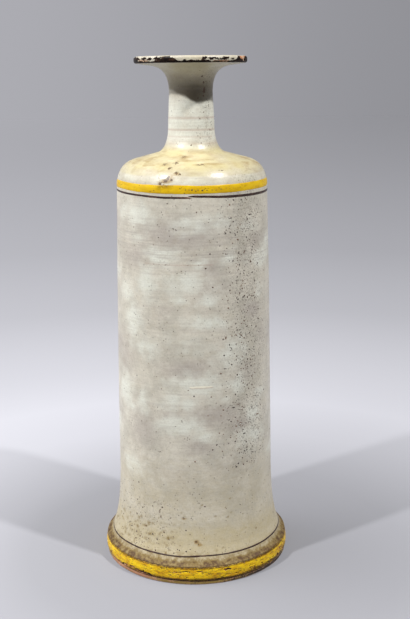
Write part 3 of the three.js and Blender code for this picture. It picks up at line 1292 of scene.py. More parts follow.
@dataclass(frozen=True)
class GlazeMarks:
    """Where the glaze is paler, greyer, stained or scratched."""

    pale: tuple[Mark, ...] = (
        (0, 280, 11, 8, 0.8), (19, 280, 9, 6, 0.8), (45, 277, 8, 5, 0.7), (-43, 286, 12, 9, 0.9),
        (-58, 287, 8, 5, 0.8), (-44, 268, 6, 4, 0.7), (-22, 256, 12, 7, 1), (27, 254, 9, 5, 0.8),
        (4, 251, 8, 4, 0.8), (62, 251, 14, 6, 1), (-35, 235, 8, 11, 1), (-6, 236, 13, 8, 0.8),
        (-57, 226, 10, 7, 0.8), (17, 233, 7, 6, 0.5), (-8, 223, 8, 3, 0.8), (12, 224, 10, 5, 0.8),
        (-48, 203, 8, 13, 1), (10, 206, 16, 5, 0.8), (58, 225, 6, 5, 0.7), (-36, 185, 10, 8, 0.8),
        (26, 178, 14, 7, 0.8), (33, 187, 10, 8, 0.7), (3, 157, 24, 8, 0.9), (33, 156, 8, 6, 0.8),
        (-15, 142, 9, 7, 0.8), (-3, 142, 8, 5, 0.8), (-60, 145, 10, 14, 0.9), (-40, 140, 6, 8, 0.8),
        (-50, 134, 4, 4, 0.8), (25, 146, 5, 3, 0.6), (55, 145, 6, 5, 0.8), (47, 129, 7, 8, 1),
        (-10, 125, 16, 7, 0.9), (1, 126, 8, 6, 0.7), (8, 116, 8, 4, 0.8), (45, 112, 14, 8, 0.7),
        # The two marks at height 334, at the neck's foot, are painted highlight.
        (58, 112, 6, 5, 0.6), (-52, 85, 12, 8, 0.8), (-5, 190, 15, 12, 0.35), (-12, 334, 8, 3, 1),
        (25, 334, 5, 3, 1), (-60, 311, 30, 2.2, 0.6), (0, 311, 34, 2.2, 0.6), (50, 311, 30, 2.2, 0.5),
    )
    grey: tuple[Mark, ...] = (
        (0, 170, 14, 9, 0.5), (12, 232, 14, 14, 0.55), (-10, 273, 32, 11, 0.9), (15, 244, 10, 9, 0.7),
        (-5, 170, 22, 8, 0.8), (-40, 120, 16, 18, 0.7), (15, 133, 22, 10, 0.8), (-15, 133, 12, 6, 0.6),
        (35, 124, 12, 8, 0.7), (4, 108, 14, 7, 0.7), (-60, 175, 14, 20, 0.7), (-45, 255, 18, 11, 0.7),
        (48, 213, 10, 6, 0.8), (22, 232, 9, 7, 0.5), (40, 165, 12, 8, 0.5), (-20, 215, 10, 6, 0.5),
        (30, 90, 22, 10, 0.4), (-15, 85, 18, 9, 0.35), (60, 190, 9, 14, 0.5), (55, 265, 12, 8, 0.6),
    )
    stained: tuple[Mark, ...] = (
        (37, 375, 0.8, 1.7, 1.4), (33, 380.4, 0.6, 0.6, 1.1), (35, 371, 0.5, 0.7, 1.1),
        (-19.4, 311.2, 1.7, 1.4, 1), (-23.1, 309, 1.3, 1.1, 0.9), (-17.3, 313.4, 1.4, 1.2, 0.9),
        (-20.5, 308, 2.2, 0.9, 0.7), (-14.5, 312, 0.8, 0.8, 1), (-11.2, 316.9, 1.4, 1.1, 0.9),
        (-8.4, 316.2, 1.1, 0.9, 0.8), (-17.5, 320.1, 1.7, 1, 0.7), (-24, 322.5, 2.6, 1, 0.6),
        (-14.4, 323.2, 2.2, 0.9, 0.7), (-9.7, 326.6, 2.6, 0.9, 0.6), (8, 322, 5, 0.8, 0.5),
        (24, 318, 4, 0.8, 0.5), (0.3, 32, 0.9, 1, 1), (1.8, 30.2, 0.7, 0.8, 0.8),
        (-8, 50.3, 0.8, 0.8, 0.8), (-24.3, 57.6, 0.7, 0.8, 0.8), (-25.9, 55, 0.6, 1.3, 0.9),
        (-26.3, 52.4, 0.6, 1.3, 1), (-25.3, 49.6, 0.6, 1.2, 0.9), (-14, 125, 1.6, 0.7, 0.6),
        (37.1, 375, 0.9, 1.2, 1), (32.7, 380.9, 0.7, 0.7, 1), (27.4, 385.3, 0.7, 0.7, 0.9),
        (19.1, 369.3, 0.6, 0.7, 0.8), (33.3, 358.8, 0.6, 0.7, 0.9), (22.9, 353.8, 0.6, 0.6, 0.8),
        (-0.5, 334.7, 0.7, 0.6, 0.8), (22.2, 336, 0.6, 0.6, 0.8), (53.1, 345.2, 0.7, 0.7, 0.8),
        (160, 40, 2.4, 1.6, 0.8), (104, 309, 2.6, 1.8, 0.7), (-130, 318, 3, 1.8, 0.7),
        (171, 364, 1.2, 1, 0.8), (-100, 60, 1.8, 1.4, 0.8),
    )
    ochre_clouds: tuple[Mark, ...] = (
        (-76, 325, 10, 3, 0.7), (-52, 326, 8, 2, 0.5), (78, 322, 9, 3, 0.6), (-42, 323, 13, 2.2, 0.6),
        (-12, 324.5, 12, 1.8, 0.65), (14, 321.5, 12, 1.2, 0.5), (36, 319, 12, 1.2, 0.45),
        (-27, 317.5, 8, 1, 0.45), (-64, 321, 10, 2, 0.5), (60, 322, 9, 1.8, 0.5),
        (24, 326, 8, 1.4, 0.4),
    )
    ochre_blots: tuple[Mark, ...] = (
        (-19, 310.5, 4.6, 2.4, 1), (-23.5, 308.5, 2, 1.6, 0.9), (-15.5, 313.5, 2.6, 1.6, 0.8),
        (-11, 317, 2, 1.4, 0.9), (0.4, 31.8, 2, 1.7, 1.3), (2.6, 29.4, 1.6, 1.1, 1.2),
        (-8, 50.3, 2, 1.6, 0.6), (100, 322, 16, 2, 0.6), (140, 320, 14, 2, 0.5),
        (180, 324, 18, 2, 0.6), (-140, 321, 16, 2.2, 0.6), (-104, 318, 12, 1.6, 0.5),
        (110, 309.5, 6, 2, 0.8),
    )
    fuzzy: tuple[Mark, ...] = (
        (-58, 27, 5, 4, 0.6), (-45, 31, 4, 3, 0.7), (-33, 27, 5, 3, 0.6), (-22, 30, 5, 3, 0.7),
        (-12, 28, 4, 3, 0.5), (-30, 44, 4, 3, 0.5), (-50, 48, 5, 4, 0.5), (12, 27, 4, 3, 0.4),
        (30, 29, 6, 3, 0.4),
    )
    back_pale: Strewing = Strewing(3, 46, (80, 292), (6, 16), (4, 10))
    back_grey: Strewing = Strewing(4, 22, (80, 290), (10, 26), (6, 14))
    flecks: tuple[Strewing, ...] = (
        Strewing(5, 90, (22, 46), (0.7, 2.4), (0.5, 1.6), (-80, -12)),
        Strewing(11, 50, (22, 66), (0.5, 1.5), (0.4, 1.1), (-80, 24)),
        Strewing(6, 150, (22, 66), (0.5, 1.3), (0.4, 1.0), (24, 280)),
    )
    scratches: tuple[Streak, ...] = (
        (-2.6, 13.7, 156.5, 0.5, 1.4), (-37, 15, 251.6, 1.2, 0.35), (120, 142, 210, 0.8, 0.8),
    )
    lines: tuple[Streak, ...] = ((-37, 15, 249.7, 0.7, 0.3), (100, 200, 238, 0.7, 0.3))
    wheel_lines: tuple[Streak, ...] = (
        (-37, 15, 249.7, 0.4, 0.42), (-2.6, 13.7, 155.7, 0.35, 0.8), (-90, 90, 354.6, 0.6, 0.55),
        (-90, 90, 345.7, 0.6, 0.6), (-80, 60, 340.6, 0.5, 0.4), (-60, 90, 335.4, 0.5, 0.35),
        (90, 250, 350, 0.6, 0.5),
    )


@dataclass(frozen=True)
class GlazeZones:
    """Heights between which each kind of wear grows from none to its most.

    The last four are an angle or a height that wear lies round, and how far it spreads. Not
    all are wear: two zones give the top of the lip's painted shadow on the neck and the side
    it is strongest on, one makes the lip's underside paler as painted bounce light, and the
    flare's cream is partly painted warm bounce light.
    """

    calm_foot: Point = (14.0, 26.0)
    calm_lip: Point = (385.0, 392.0)
    cove_haze: Point = (28.0, 18.5)
    cove_grime: Point = (19.2, 15.6)
    low_wall: Point = (112.0, 64.0)
    foot: Point = (50.0, 28.0)
    over_band: Point = (306.0, 309.0)
    dome_foot: Point = (313.2, 315.0)
    dome_deep: Point = (316.0, 321.0)
    dome_top: Point = (338.0, 329.0)
    neck_foot: Point = (340.0, 330.0)
    neck_low: Point = (334.0, 342.0)
    neck_top: Point = (374.0, 366.0)
    flare: Point = (374.0, 380.0)
    # The lip's underside is made paler here as painted bounce light.
    painted_bounce_under_lip: Point = (384.0, 391.0)
    # The lip's painted shadow on the neck fades out upwards between these heights.
    painted_shadow_top: Point = (388.0, 374.0)
    specks: Point = (88.0, 104.0)
    foot_specks: Point = (70.0, 48.0)
    # The lip's painted shadow on the neck is strongest round this angle.
    painted_shadow_side: Point = (8.0, 40.0)
    specked_side: Point = (47.0, 17.0)
    foot_specked_side: Point = (-40.0, 26.0)
    wheeled: Point = (262.0, 16.0)


@dataclass
class BodyGlaze:
    """The outer coat, from the edge above the foot's rim to the underside of the lip.

    Its steps are heights, each with the distance between the mesh's rows under it. Its
    edge row for the lip's shadow is a row of angles, each with the height at which the lip's
    painted shadow on the neck ends below; that dark brown is painted shadow.
    """

    sizes: BottleSizes
    glaze: TinGlaze
    hand: Hand
    marks: GlazeMarks = GlazeMarks()
    zones: GlazeZones = GlazeZones()
    count: int = 360
    steps: tuple[Point, ...] = (
        (60, 0.85), (155, 1.4), (158.2, 0.4), (248.6, 1.4), (251, 0.4), (296, 1.4), (330, 0.75),
        (400, 0.6),
    )
    back_steps: tuple[Point, ...] = ((60.0, 2.2), (296.0, 16.0), (345.0, 2.2), (370.0, 8.0), (400.0, 1.8))
    ring_depth: float = 0.08
    lump: float = 0.15
    ridge: float = 0.16
    ridge_at: Point = (377.0, 0.9)
    # Lower edge of the lip's painted shadow on the neck, by angle.
    painted_shadow_edge: tuple[Point, ...] = (
        (-180, 370), (-75, 376), (-50, 375), (-35, 373), (-15, 371), (0, 367.5), (15, 366),
        (35, 366.5), (60, 368.5), (80, 371),
    )

    def face(self) -> Outline:
        """Draws the glaze's even face."""
        return self.sizes.body().offset(self.sizes.coat)

    def relief(self, places: Field) -> Field:
        """Finds how far the glazed surface stands out anywhere on the bottle.

        Args:
            places: Places in millimetres.

        Returns:
            Millimetres outward.
        """
        height = places[..., 2]
        flat = places * [0.03, 0.03, 1.0]
        rings = self.hand.layered(flat, 4.2, 2) * self.ring_depth
        lumps = self.hand.layered(places, 46.0, 2) * self.lump
        ridge = self.ridge * bell(height, *self.ridge_at)
        calm = 1.0 - 0.6 * smooth(height, *self.zones.calm_lip)
        calm *= smooth(height, *self.zones.calm_foot)
        return (rings + lumps + ridge) * calm

    def streaks(self, places: Field, rows: tuple[Streak, ...]) -> Field:
        """Lays thin level streaks.

        Args:
            places: Places in millimetres.
            rows: The streaks.

        Returns:
            The strongest streak at each place.
        """
        angles, heights = angles_of(places), places[..., 2]
        total = np.zeros(angles.shape)
        for start, end, height, half, strength in rows:
            reach = (end - start) / 2.0
            aside = np.abs(turned_by(angles, start + reach))
            ends = smooth(aside, reach + 1.5, reach - 1.5)
            line = np.exp(-0.7 * ((heights - height) / half) ** 2)
            total = np.maximum(total, strength * ends * line)
        return total

    def wear(self, places: Field) -> dict[Wear, Field]:
        """Finds the marks of age on the glaze.

        Args:
            places: Places in millimetres.

        Returns:
            The marks at each place.
        """
        marks, zones = self.marks, self.zones
        height, angles = places[..., 2], angles_of(places)
        moved = self.hand.warped(places, 3.2, 10.0)
        nudged = self.hand.warped(places, 0.6, 4.0)
        patch = self.hand.layered(places, 11.0, 3)
        pale = [*marks.pale, *marks.back_pale.marks()]
        grey = [*marks.grey, *marks.back_grey.marks()]
        flecks = [mark for strewing in marks.flecks for mark in strewing.marks()]
        cove = 0.5 * smooth(height + 2.2 * patch, *zones.cove_haze)
        cove += 0.75 * smooth(height + 0.8 * patch, *zones.cove_grime)
        haze = 0.45 * marked(moved, marks.fuzzy)
        low_wall = smooth(height, *zones.low_wall) * (0.42 + 0.16 * patch)
        foot = 0.85 * smooth(height + 5.0 * patch, *zones.foot)
        over_band = smooth(height, *zones.over_band) * smooth(height, *zones.neck_foot)
        dome = smooth(height + 0.5 * patch, *zones.dome_foot) * smooth(height, *zones.dome_top)
        dome = dome * (0.62 + 0.3 * patch + 0.22 * smooth(height, *zones.dome_deep))
        neck = smooth(height, *zones.neck_low) * smooth(height, *zones.neck_top)
        # Paler glaze under the lip is painted bounce light; the cream on the flare is partly painted warm
        # light bounced up from the shoulder.
        painted_bounce_under_lip = smooth(height, *zones.painted_bounce_under_lip)
        flare = smooth(height, *zones.flare) * (0.3 + 0.15 * painted_bounce_under_lip)
        # Strength of the lip's painted shadow on the neck, most towards the front.
        soot = 0.6 + 0.32 * facing(angles, *zones.painted_shadow_side) + 0.06 * patch
        specks = facing(angles, *zones.specked_side) * smooth(height, *zones.specks)
        foot_specks = facing(angles, *zones.foot_specked_side)
        foot_specks = foot_specks * smooth(height, *zones.foot_specks)
        stains = marked(nudged, marks.stained)
        clouds = marked(moved, marks.ochre_clouds)
        return {
            Wear.SOIL: np.maximum(np.maximum(cove, haze), 0.62 * marked(nudged, flecks)),
            # The lip's painted shadow on the neck.
            Wear.SOOT: self.sooty_and_shaded(angles, height + 0.6 * patch) * soot,
            Wear.AGED: low_wall + foot,
            Wear.CREAM: np.maximum(dome, 0.22 * over_band) + flare,
            Wear.STAIN: np.maximum(stains, self.streaks(nudged, marks.lines)),
            Wear.SCRATCH: self.streaks(nudged, marks.scratches),
            # Paler glaze: patches, the neck, and under the lip as painted bounce light.
            Wear.PALE: np.maximum(marked(moved, pale), 0.75 * neck + 0.9 * painted_bounce_under_lip),
            Wear.GREY: marked(moved, grey),
            Wear.SPECK: np.maximum(specks, 0.6 * foot_specks) + 0.15 * patch,
            Wear.WHEEL: 0.3 + 0.6 * bell(height, *zones.wheeled) + 0.2 * patch,
            Wear.LINE: self.streaks(places, marks.wheel_lines),
            Wear.OCHRE: np.maximum(clouds, marked(nudged, marks.ochre_blots)),
        }

    def sooty_and_shaded(self, angles: Field, heights: Field) -> Field:
        """Finds the lip's painted shadow on the neck, which ends below at the edge row's heights.

        Args:
            angles: Angles round the axis.
            heights: Heights over the floor.

        Returns:
            How strong the painted shadow is at each place.
        """
        turned, edge = zip(*self.painted_shadow_edge)
        low = np.interp(angles, turned, edge, period=360.0)
        settled = smooth(heights, low - 1.2, low + 1.2)
        return settled * smooth(heights, *self.zones.painted_shadow_top)

    def outline(self, distance: float, steps: tuple[Point, ...]) -> Outline:
        """Draws a line along the coat with points closer together where it bends.

        Args:
            distance: How far the line lies outside the clay.
            steps: Heights, each with the distance between the points under it.

        Returns:
            The line.
        """
        line = self.sizes.body().offset(distance)
        low = line.points[0, 1]
        stretches = [line.points[:1]]
        for high, step in steps:
            high = min(high, line.points[-1, 1])
            stretches.append(line.between(low, high, step).points[1:])
            low = high
        return Outline(np.concatenate(stretches))

    def build(self) -> None:
        """Makes the coat."""
        back = self.outline(self.sizes.gap, self.back_steps)
        skin = Skin("body_glaze", self.outline(self.sizes.coat, self.steps), back, self.count)
        places = skin.places()
        piece = skin.build(self.relief(places), self.wear(places))
        finish_piece(piece, self.glaze.material(), ["outer_glaze"])


@dataclass
class LipRim:
    """The worn edge of the lip, with what is left of its dark paint.

    Each patch is a row of angles, each with the lowest and highest share of the edge's
    height that it covers there. The fringe is the patch that comes from beneath the edge,
    which starts at the height low and is as high as reach. The zones are radii or heights
    between which wear grows from none to its most. Two of them are painted light, not wear:
    the paler underside near the edge is painted bounce light, and the greyed top of the edge
    is painted shade.
    """

    sizes: BottleSizes
    glaze: RimGlaze
    hand: Hand
    count: int = 800
    inset: float = 4.5
    step: float = 0.3
    chip_depth: float = 0.4
    proud: float = 0.06
    low: float = 395.2
    reach: float = 4.8
    spread: float = 0.22
    edge_zone: Point = (41.2, 42.4)
    # Paler underside near the edge: painted bounce light.
    painted_bounce_zone: Point = (41.6, 40.0)
    # The top of the edge is greyed here as painted shade.
    painted_shade_top: Point = (399.0, 399.7)
    beneath: float = -0.3
    fringe: tuple[Point, ...] = (
        (-94, 0.36), (-66, 0.3), (-60, 0.22), (-48, 0.2), (-40, 0.12), (-36, 0.25), (-31, 0.55),
        (-28, 0.72), (-20, 0.74), (-16, 0.62), (-13.5, 0.4), (-12, 0.24), (-8, 0.22), (-5, 0.34),
        (-3, 0.24), (0, 0.36), (3, 0.22), (12, 0.28), (18, 0.26), (22, 0.06), (40, 0.02), (43, 0.22),
        (50, 0.32), (54, 0.6), (56, 0.9), (59, 0.95), (60.5, 0.55), (62, 0.3), (75, 0.28), (94, 0.3),
    )
    painted: tuple[tuple[Triple, ...], ...] = (
        ((-94, 0.2, 1), (-68, 0.24, 0.85), (-64, 0.38, 0.75), (-60.5, 0.5, 0.62)),
        ((-56, 0.6, 0.66), (-54, 0.5, 0.74), (-50, 0.52, 0.72), (-48, 0.6, 0.68)),
        ((-46.5, 0.5, 0.56), (-45, 0.38, 0.68), (-42.5, 0.36, 0.72), (-40, 0.46, 0.62)),
        ((-38, 0.5, 0.6), (-35, 0.42, 0.74), (-30, 0.4, 0.74)),
        ((11.5, 0.42, 0.5), (13, 0.35, 0.72), (15.5, 0.42, 0.74), (17, 0.56, 0.68)),
        (
            (18.8, 0.46, 0.58), (20, 0.38, 0.7), (24, 0.42, 0.66), (27, 0.46, 0.56), (30, 0.4, 0.52),
            (33, 0.34, 0.6), (36, 0.36, 0.7), (40, 0.46, 0.74), (42, 0.6, 0.7),
        ),
        ((43.5, 0.48, 0.54), (45, 0.38, 0.66), (47, 0.4, 0.62), (48.5, 0.48, 0.56)),
        ((61, 0.3, 0.5), (68, 0.3, 0.42), (73, 0.3, 0.8), (80, 0.3, 1), (94, 0.3, 1.1)),
    )
    bare: tuple[tuple[Triple, ...], ...] = (
        ((23, -0.3, 0.05), (28, -0.3, 0.22), (40, -0.3, 0.24), (43, -0.3, 0.05)),
        ((60, 0.6, 0.8), (62, 0.3, 0.95), (70, 0.34, 0.95), (74, 0.7, 1), (80, 0.8, 1)),
        ((-62, 0.24, 0.34), (-58, 0.2, 0.42), (-50, 0.22, 0.38), (-46, 0.22, 0.3)),
        ((96, 0.3, 1), (102, 0.35, 0.9)), ((150, -0.3, 0.4), (158, -0.3, 0.3)),
        ((-140, 0.4, 1), (-128, 0.5, 0.9)),
    )

    def outline(self, distance: float) -> Outline:
        """Draws the lip from its underside, round its edge and over its top.

        Args:
            distance: How far the line lies outside the clay.

        Returns:
            The line.
        """
        sizes = self.sizes
        under, root = sizes.lip_under, sizes.flange_root
        slope = (under[1] - root[1]) / (under[0] - root[0])
        start = (under[0] - self.inset, under[1] - slope * self.inset)
        top = (under[0] - self.inset, sizes.top)
        points = np.concatenate([[start], sizes.lip_edge(0.0, 8), [top]])
        return Outline(points).eased(0.8, 0.2).offset(distance)

    def daubed(self, places: Field, patches: tuple[tuple[Triple, ...], ...]) -> Field:
        """Lays patches on the edge.

        Args:
            places: Places in millimetres.
            patches: The patches.

        Returns:
            One half at a patch's edge, more inside it and less outside.
        """
        angles, radii = angles_of(places), radii_of(places)
        share = (places[..., 2] - self.low) / self.reach
        total = np.zeros(angles.shape)
        for patch in patches:
            turned, low, high = np.array(patch, float).T
            middle = (turned[0] + turned[-1]) / 2.0
            at = turned_by(angles, middle) + middle
            across = np.radians(np.minimum(at - turned[0], turned[-1] - at)) * radii
            over = share - np.interp(at, turned, low)
            under = np.interp(at, turned, high) - share
            along = np.minimum(over, under) * self.reach
            inside = np.clip(np.minimum(across, along) + self.spread, -1.0, 1.0)
            total = np.maximum(total, 0.5 + 0.5 * inside)
        return total

    def back_paint(self) -> list[tuple[Triple, ...]]:
        """Lists the paint that is left on the back of the lip.

        Returns:
            Its patches.
        """
        draw = np.random.default_rng(19)
        patches, start = [], 92.0
        while start < 262.0:
            end = min(start + draw.uniform(5.0, 24.0), 266.0)
            turned = np.linspace(start, end, 5)
            top = draw.choice([0.25, 0.6, 0.95]) * draw.uniform(0.5, 1.1, 5)
            patches.append(tuple((float(a), self.beneath, float(t)) for a, t in zip(turned, top)))
            start = end + draw.uniform(0.5, 10.0)
        return patches

    def wear(self, places: Field) -> dict[Wear, Field]:
        """Finds where paint is left and where the clay is bare.

        Args:
            places: Places in millimetres.

        Returns:
            Marks that are over a half inside each patch.
        """
        height, radius = places[..., 2], radii_of(places)
        outer = smooth(radius, *self.edge_zone)
        moved = self.hand.warped(places, 0.7, 2.4)
        fine = 0.16 * self.hand.layered(places, 1.8, 3)
        fringe = tuple((turned, self.beneath, top) for turned, top in self.fringe)
        paint = self.daubed(moved, (fringe, *self.painted, *self.back_paint())) + fine
        chip = self.daubed(moved, self.bare) + fine
        patch = self.hand.layered(places, 9.0, 3)
        grey = 0.3 * self.hand.layered(places + 9.0, 5.0, 3) * outer
        # The top of the edge is greyed as painted shade.
        grey += 0.45 * smooth(height, *self.painted_shade_top) * outer
        return {
            Wear.PAINT: paint * outer,
            Wear.CHIP: chip * outer,
            Wear.CREAM: 0.2 + 0.3 * patch,
            Wear.GREY: 0.2 + grey,
            # Paler underside near the edge: painted bounce light.
            Wear.PALE: 0.6 * smooth(radius, *self.painted_bounce_zone) * smooth(height, 397.0, 395.0),
        }

    def build(self) -> None:
        """Makes the rim."""
        face = self.outline(self.sizes.coat - self.proud).resampled(self.step)
        skin = Skin("lip_rim", face, self.outline(self.sizes.gap).resampled(1.5), self.count)
        places = skin.places()
        wear = self.wear(places)
        lift = face.inner(1.2) * 2 * self.proud - self.proud
        chipped = smooth(wear[Wear.CHIP], 0.42, 0.62)
        painted = smooth(wear[Wear.PAINT], 0.42, 0.6)
        relief = lift + 0.05 * painted - self.chip_depth * chipped
        relief += 0.07 * self.hand.layered(places, 3.0, 2)
        top = smooth(places[..., 2], 398.6, 399.6)
        relief = np.where(top > 0, np.minimum(relief, self.proud), relief)
        piece = skin.build(relief, wear)
        finish_piece(piece, self.glaze.material(), ["outer_glaze", "lip_band"])


@dataclass
class Mouth:
    """The flat top of the lip, the throat and the lining down to the floor."""

    sizes: BottleSizes
    hand: Hand
    count: int = 288
    eyelet: float = 0.4
    lining: TinGlaze = TinGlaze(
        name="lining_glaze",
        shade=(0.42, 0.36, 0.26),
        light=(0.56, 0.5, 0.37),
        pale=(0.62, 0.58, 0.46),
        polish=(0.3, 0.45),
    )

    def build(self, glaze: Material) -> None:
        """Makes the top of the lip and the lining.

        Args:
            glaze: The finish of the lip's top.
        """
        sizes = self.sizes
        reach = sizes.lip_under[0] - 3.0
        flat = np.array([(reach, sizes.top), sizes.mouth])
        face = Outline(flat + [0.0, sizes.coat - 0.05]).resampled(0.6)
        back = Outline(flat + [0.0, sizes.gap])
        top = Skin("lip_top", face, back, self.count)
        places = top.places()
        relief = 0.05 * self.hand.layered(places * [1, 1, 0.3], 5.0, 2) - 0.02
        patch = self.hand.layered(places, 9.0, 3)
        wear = {
            Wear.SOIL: 0.1 + 0.2 * patch,
            Wear.CREAM: 0.45 + 0.4 * patch,
            Wear.PALE: 0.4 + 0.5 * self.hand.layered(places + 20.0, 12.0, 3),
            Wear.SPECK: 0.3 + 0.3 * patch,
        }
        finish_piece(top.build(relief, wear), glaze, ["outer_glaze"])
        self._build_lining()

    def _build_lining(self) -> None:
        """Makes the lining, closed across the floor."""
        sizes = self.sizes
        inside = sizes.inside()
        lines = []
        for distance in (sizes.coat, sizes.gap):
            line = inside.offset(distance).points[:-1]
            height = sizes.floor_top + distance
            foot = [(sizes.seat - distance, height), (self.eyelet, height)]
            lines.append(Outline(np.concatenate([line, foot])))
        throat = lines[0].resampled(1.6)
        skin = Skin("inner_lining", throat, lines[1].resampled(8.0), self.count // 2)
        places = skin.places()
        relief = 0.08 * self.hand.layered(places * [0.05, 0.05, 1], 5.0, 2)
        relief *= smooth(throat.run, 0.0, 6.0)[:, None]
        # The lining darkens deeper down the throat.
        deep = smooth(places[..., 2], 396.0, 360.0)
        patch = self.hand.layered(places, 14.0, 3)
        wear = {Wear.SOIL: deep * (0.25 + 0.2 * patch), Wear.CREAM: 0.4 + 0.3 * patch}
        piece = skin.build(relief, wear)
        finish_piece(piece, self.lining.material(), ["inner_glaze"])


@dataclass
class NeckClay:
    """The clay of the neck and lip under its glaze."""

    sizes: BottleSizes
    count: int = 180
    inset: float = 0.65

    def build(self, clay: Material) -> None:
        """Makes the clay.

        Args:
            clay: Its finish.
        """
        sizes = self.sizes
        seam = sizes.height - sizes.neck_seam_drop + sizes.joint
        body = sizes.body()
        neck = body.between(seam, body.points[-1, 1], 2.0).points[:-1]
        edge = sizes.lip_edge(self.inset, 4)
        face = Outline(np.concatenate([neck, edge, [sizes.mouth]]))
        inside = Outline(sizes.inside().points[::-1])
        back = inside.between(seam + sizes.seam_bevel, sizes.top - 0.01, 3.0)
        skin = Skin("neck_clay", face, back, self.count)
        piece = skin.build(np.zeros((len(face.points), self.count)), {})
        finish_piece(piece, clay, ["neck_and_lip"])


@dataclass
class FootRim:
    """The yellow rim round the foot, cracked and chipped through to the clay."""

    sizes: BottleSizes
    glaze: YellowGlaze
    hand: Hand
    count: int = 1080
    coat: float = 0.5
    step: float = 0.28
    chip_depth: float = 0.6
    chips: tuple[Mark, ...] = (
        (-6.4, 11.3, 3.4, 0.42, 1.1), (-10.6, 10.2, 3.6, 0.42, 1.1), (2.4, 11.5, 3, 0.4, 1),
        (19.3, 11.3, 2.6, 0.75, 1.3), (25.1, 6.6, 1, 0.6, 1), (34.3, 7.7, 1, 0.6, 1),
        (38.1, 7.8, 0.9, 0.6, 1), (44, 7.7, 1.1, 0.7, 1), (-29, 4.6, 2.6, 0.8, 1),
        (-34.5, 4.6, 5, 1.2, 1.1), (-38.6, 5.5, 2.2, 1.1, 1.1), (-43, 6.4, 2.6, 1, 1),
        (-49, 5.3, 4, 1.2, 1), (-55, 4.5, 3, 1.1, 0.9), (65, 9.3, 1.6, 1, 1), (71, 6, 3, 1.2, 1),
        (-21, 12.4, 1.8, 0.4, 0.8), (-28, 10.2, 1.4, 0.4, 0.9), (53, 5.4, 2.4, 0.8, 0.9),
        (61, 6.4, 1.6, 0.9, 0.9), (9.5, 9.2, 1.6, 0.3, 0.8), (-62, 10.4, 1.6, 0.6, 0.9),
        (-68, 6, 2.4, 0.9, 0.9),
    )
    strewn: tuple[Strewing, ...] = (
        Strewing(8, 34, (4.6, 12), (0.9, 4), (0.3, 1.1)),
        Strewing(9, 90, (4.4, 7.2), (0.8, 3.6), (0.14, 0.34), (-180, 180)),
        Strewing(10, 44, (7.2, 12.6), (1.2, 5.5), (0.1, 0.24), (-180, 180)),
        Strewing(12, 30, (3.9, 5.6), (1.6, 6), (0.25, 0.7), (-180, 180)),
    )
    pitted_side: Point = (-38.0, 22.0)
    thin_edge: Point = (12.3, 13.7)

    def outline(self, distance: float) -> Outline:
        """Draws the rim at a distance from the clay."""
        return Outline(self.sizes.rim()).offset(distance)

    def wear(self, places: Field) -> dict[Wear, Field]:
        """Finds the chips, the pits, the thin edges of the yellow and its darker lower edge, partly
        painted shade.

        Args:
            places: Places in millimetres.

        Returns:
            Marks for each place.
        """
        height, angles = places[..., 2], angles_of(places)
        long = places * [0.38, 0.38, 1.0]
        streaks = self.hand.layered(long, 2.7, 3)
        broad = self.hand.layered(places * [0.5, 0.5, 0.6], 14.0, 2)
        strewn = [mark for strewing in self.strewn for mark in strewing.marks()]
        moved = self.hand.warped(places, 0.7, 2.6)
        chip = 0.85 * marked(moved, [*self.chips, *strewn]) + 0.1 * streaks
        # Darker along the rim's lower edge, which turns down towards the groove, reaching higher on the
        # right: partly dirt, partly painted shade.
        right = smooth(np.abs(turned_by(angles, 55.0)), 30.0, 18.0)
        edge = 5.4 + 0.5 * broad + 0.9 * right
        low = smooth(height, edge + 0.6, edge - 0.7)
        upper = smooth(height + 0.35 * broad, *self.thin_edge)
        return {
            Wear.CHIP: chip,
            Wear.SOIL: np.maximum(upper * (0.95 + 0.2 * broad), low),
            Wear.SPECK: facing(angles, *self.pitted_side),
        }

    def build(self) -> None:
        """Makes the rim."""
        face = self.outline(self.coat).resampled(self.step)
        skin = Skin("foot_rim", face, self.outline(-1.2).resampled(1.2), self.count)
        places = skin.places()
        wear = self.wear(places)
        long = places * [0.12, 0.12, 1.0]
        relief = -self.chip_depth * smooth(wear[Wear.CHIP], 0.38, 0.62)
        relief -= 0.2 * (0.5 + 0.5 * self.hand.layered(long, 2.2, 3))
        relief -= 0.12 * (0.5 + 0.5 * self.hand.layered(places, 9.0, 2))
        relief -= 0.06 * (0.5 + 0.5 * self.hand.noise(places, 1.6))
        whole = face.inner(0.8)
        relief = relief * whole - 0.35 * (1.0 - whole)
        piece = skin.build(relief, wear)
        finish_piece(piece, self.glaze.material(), ["foot_band"])


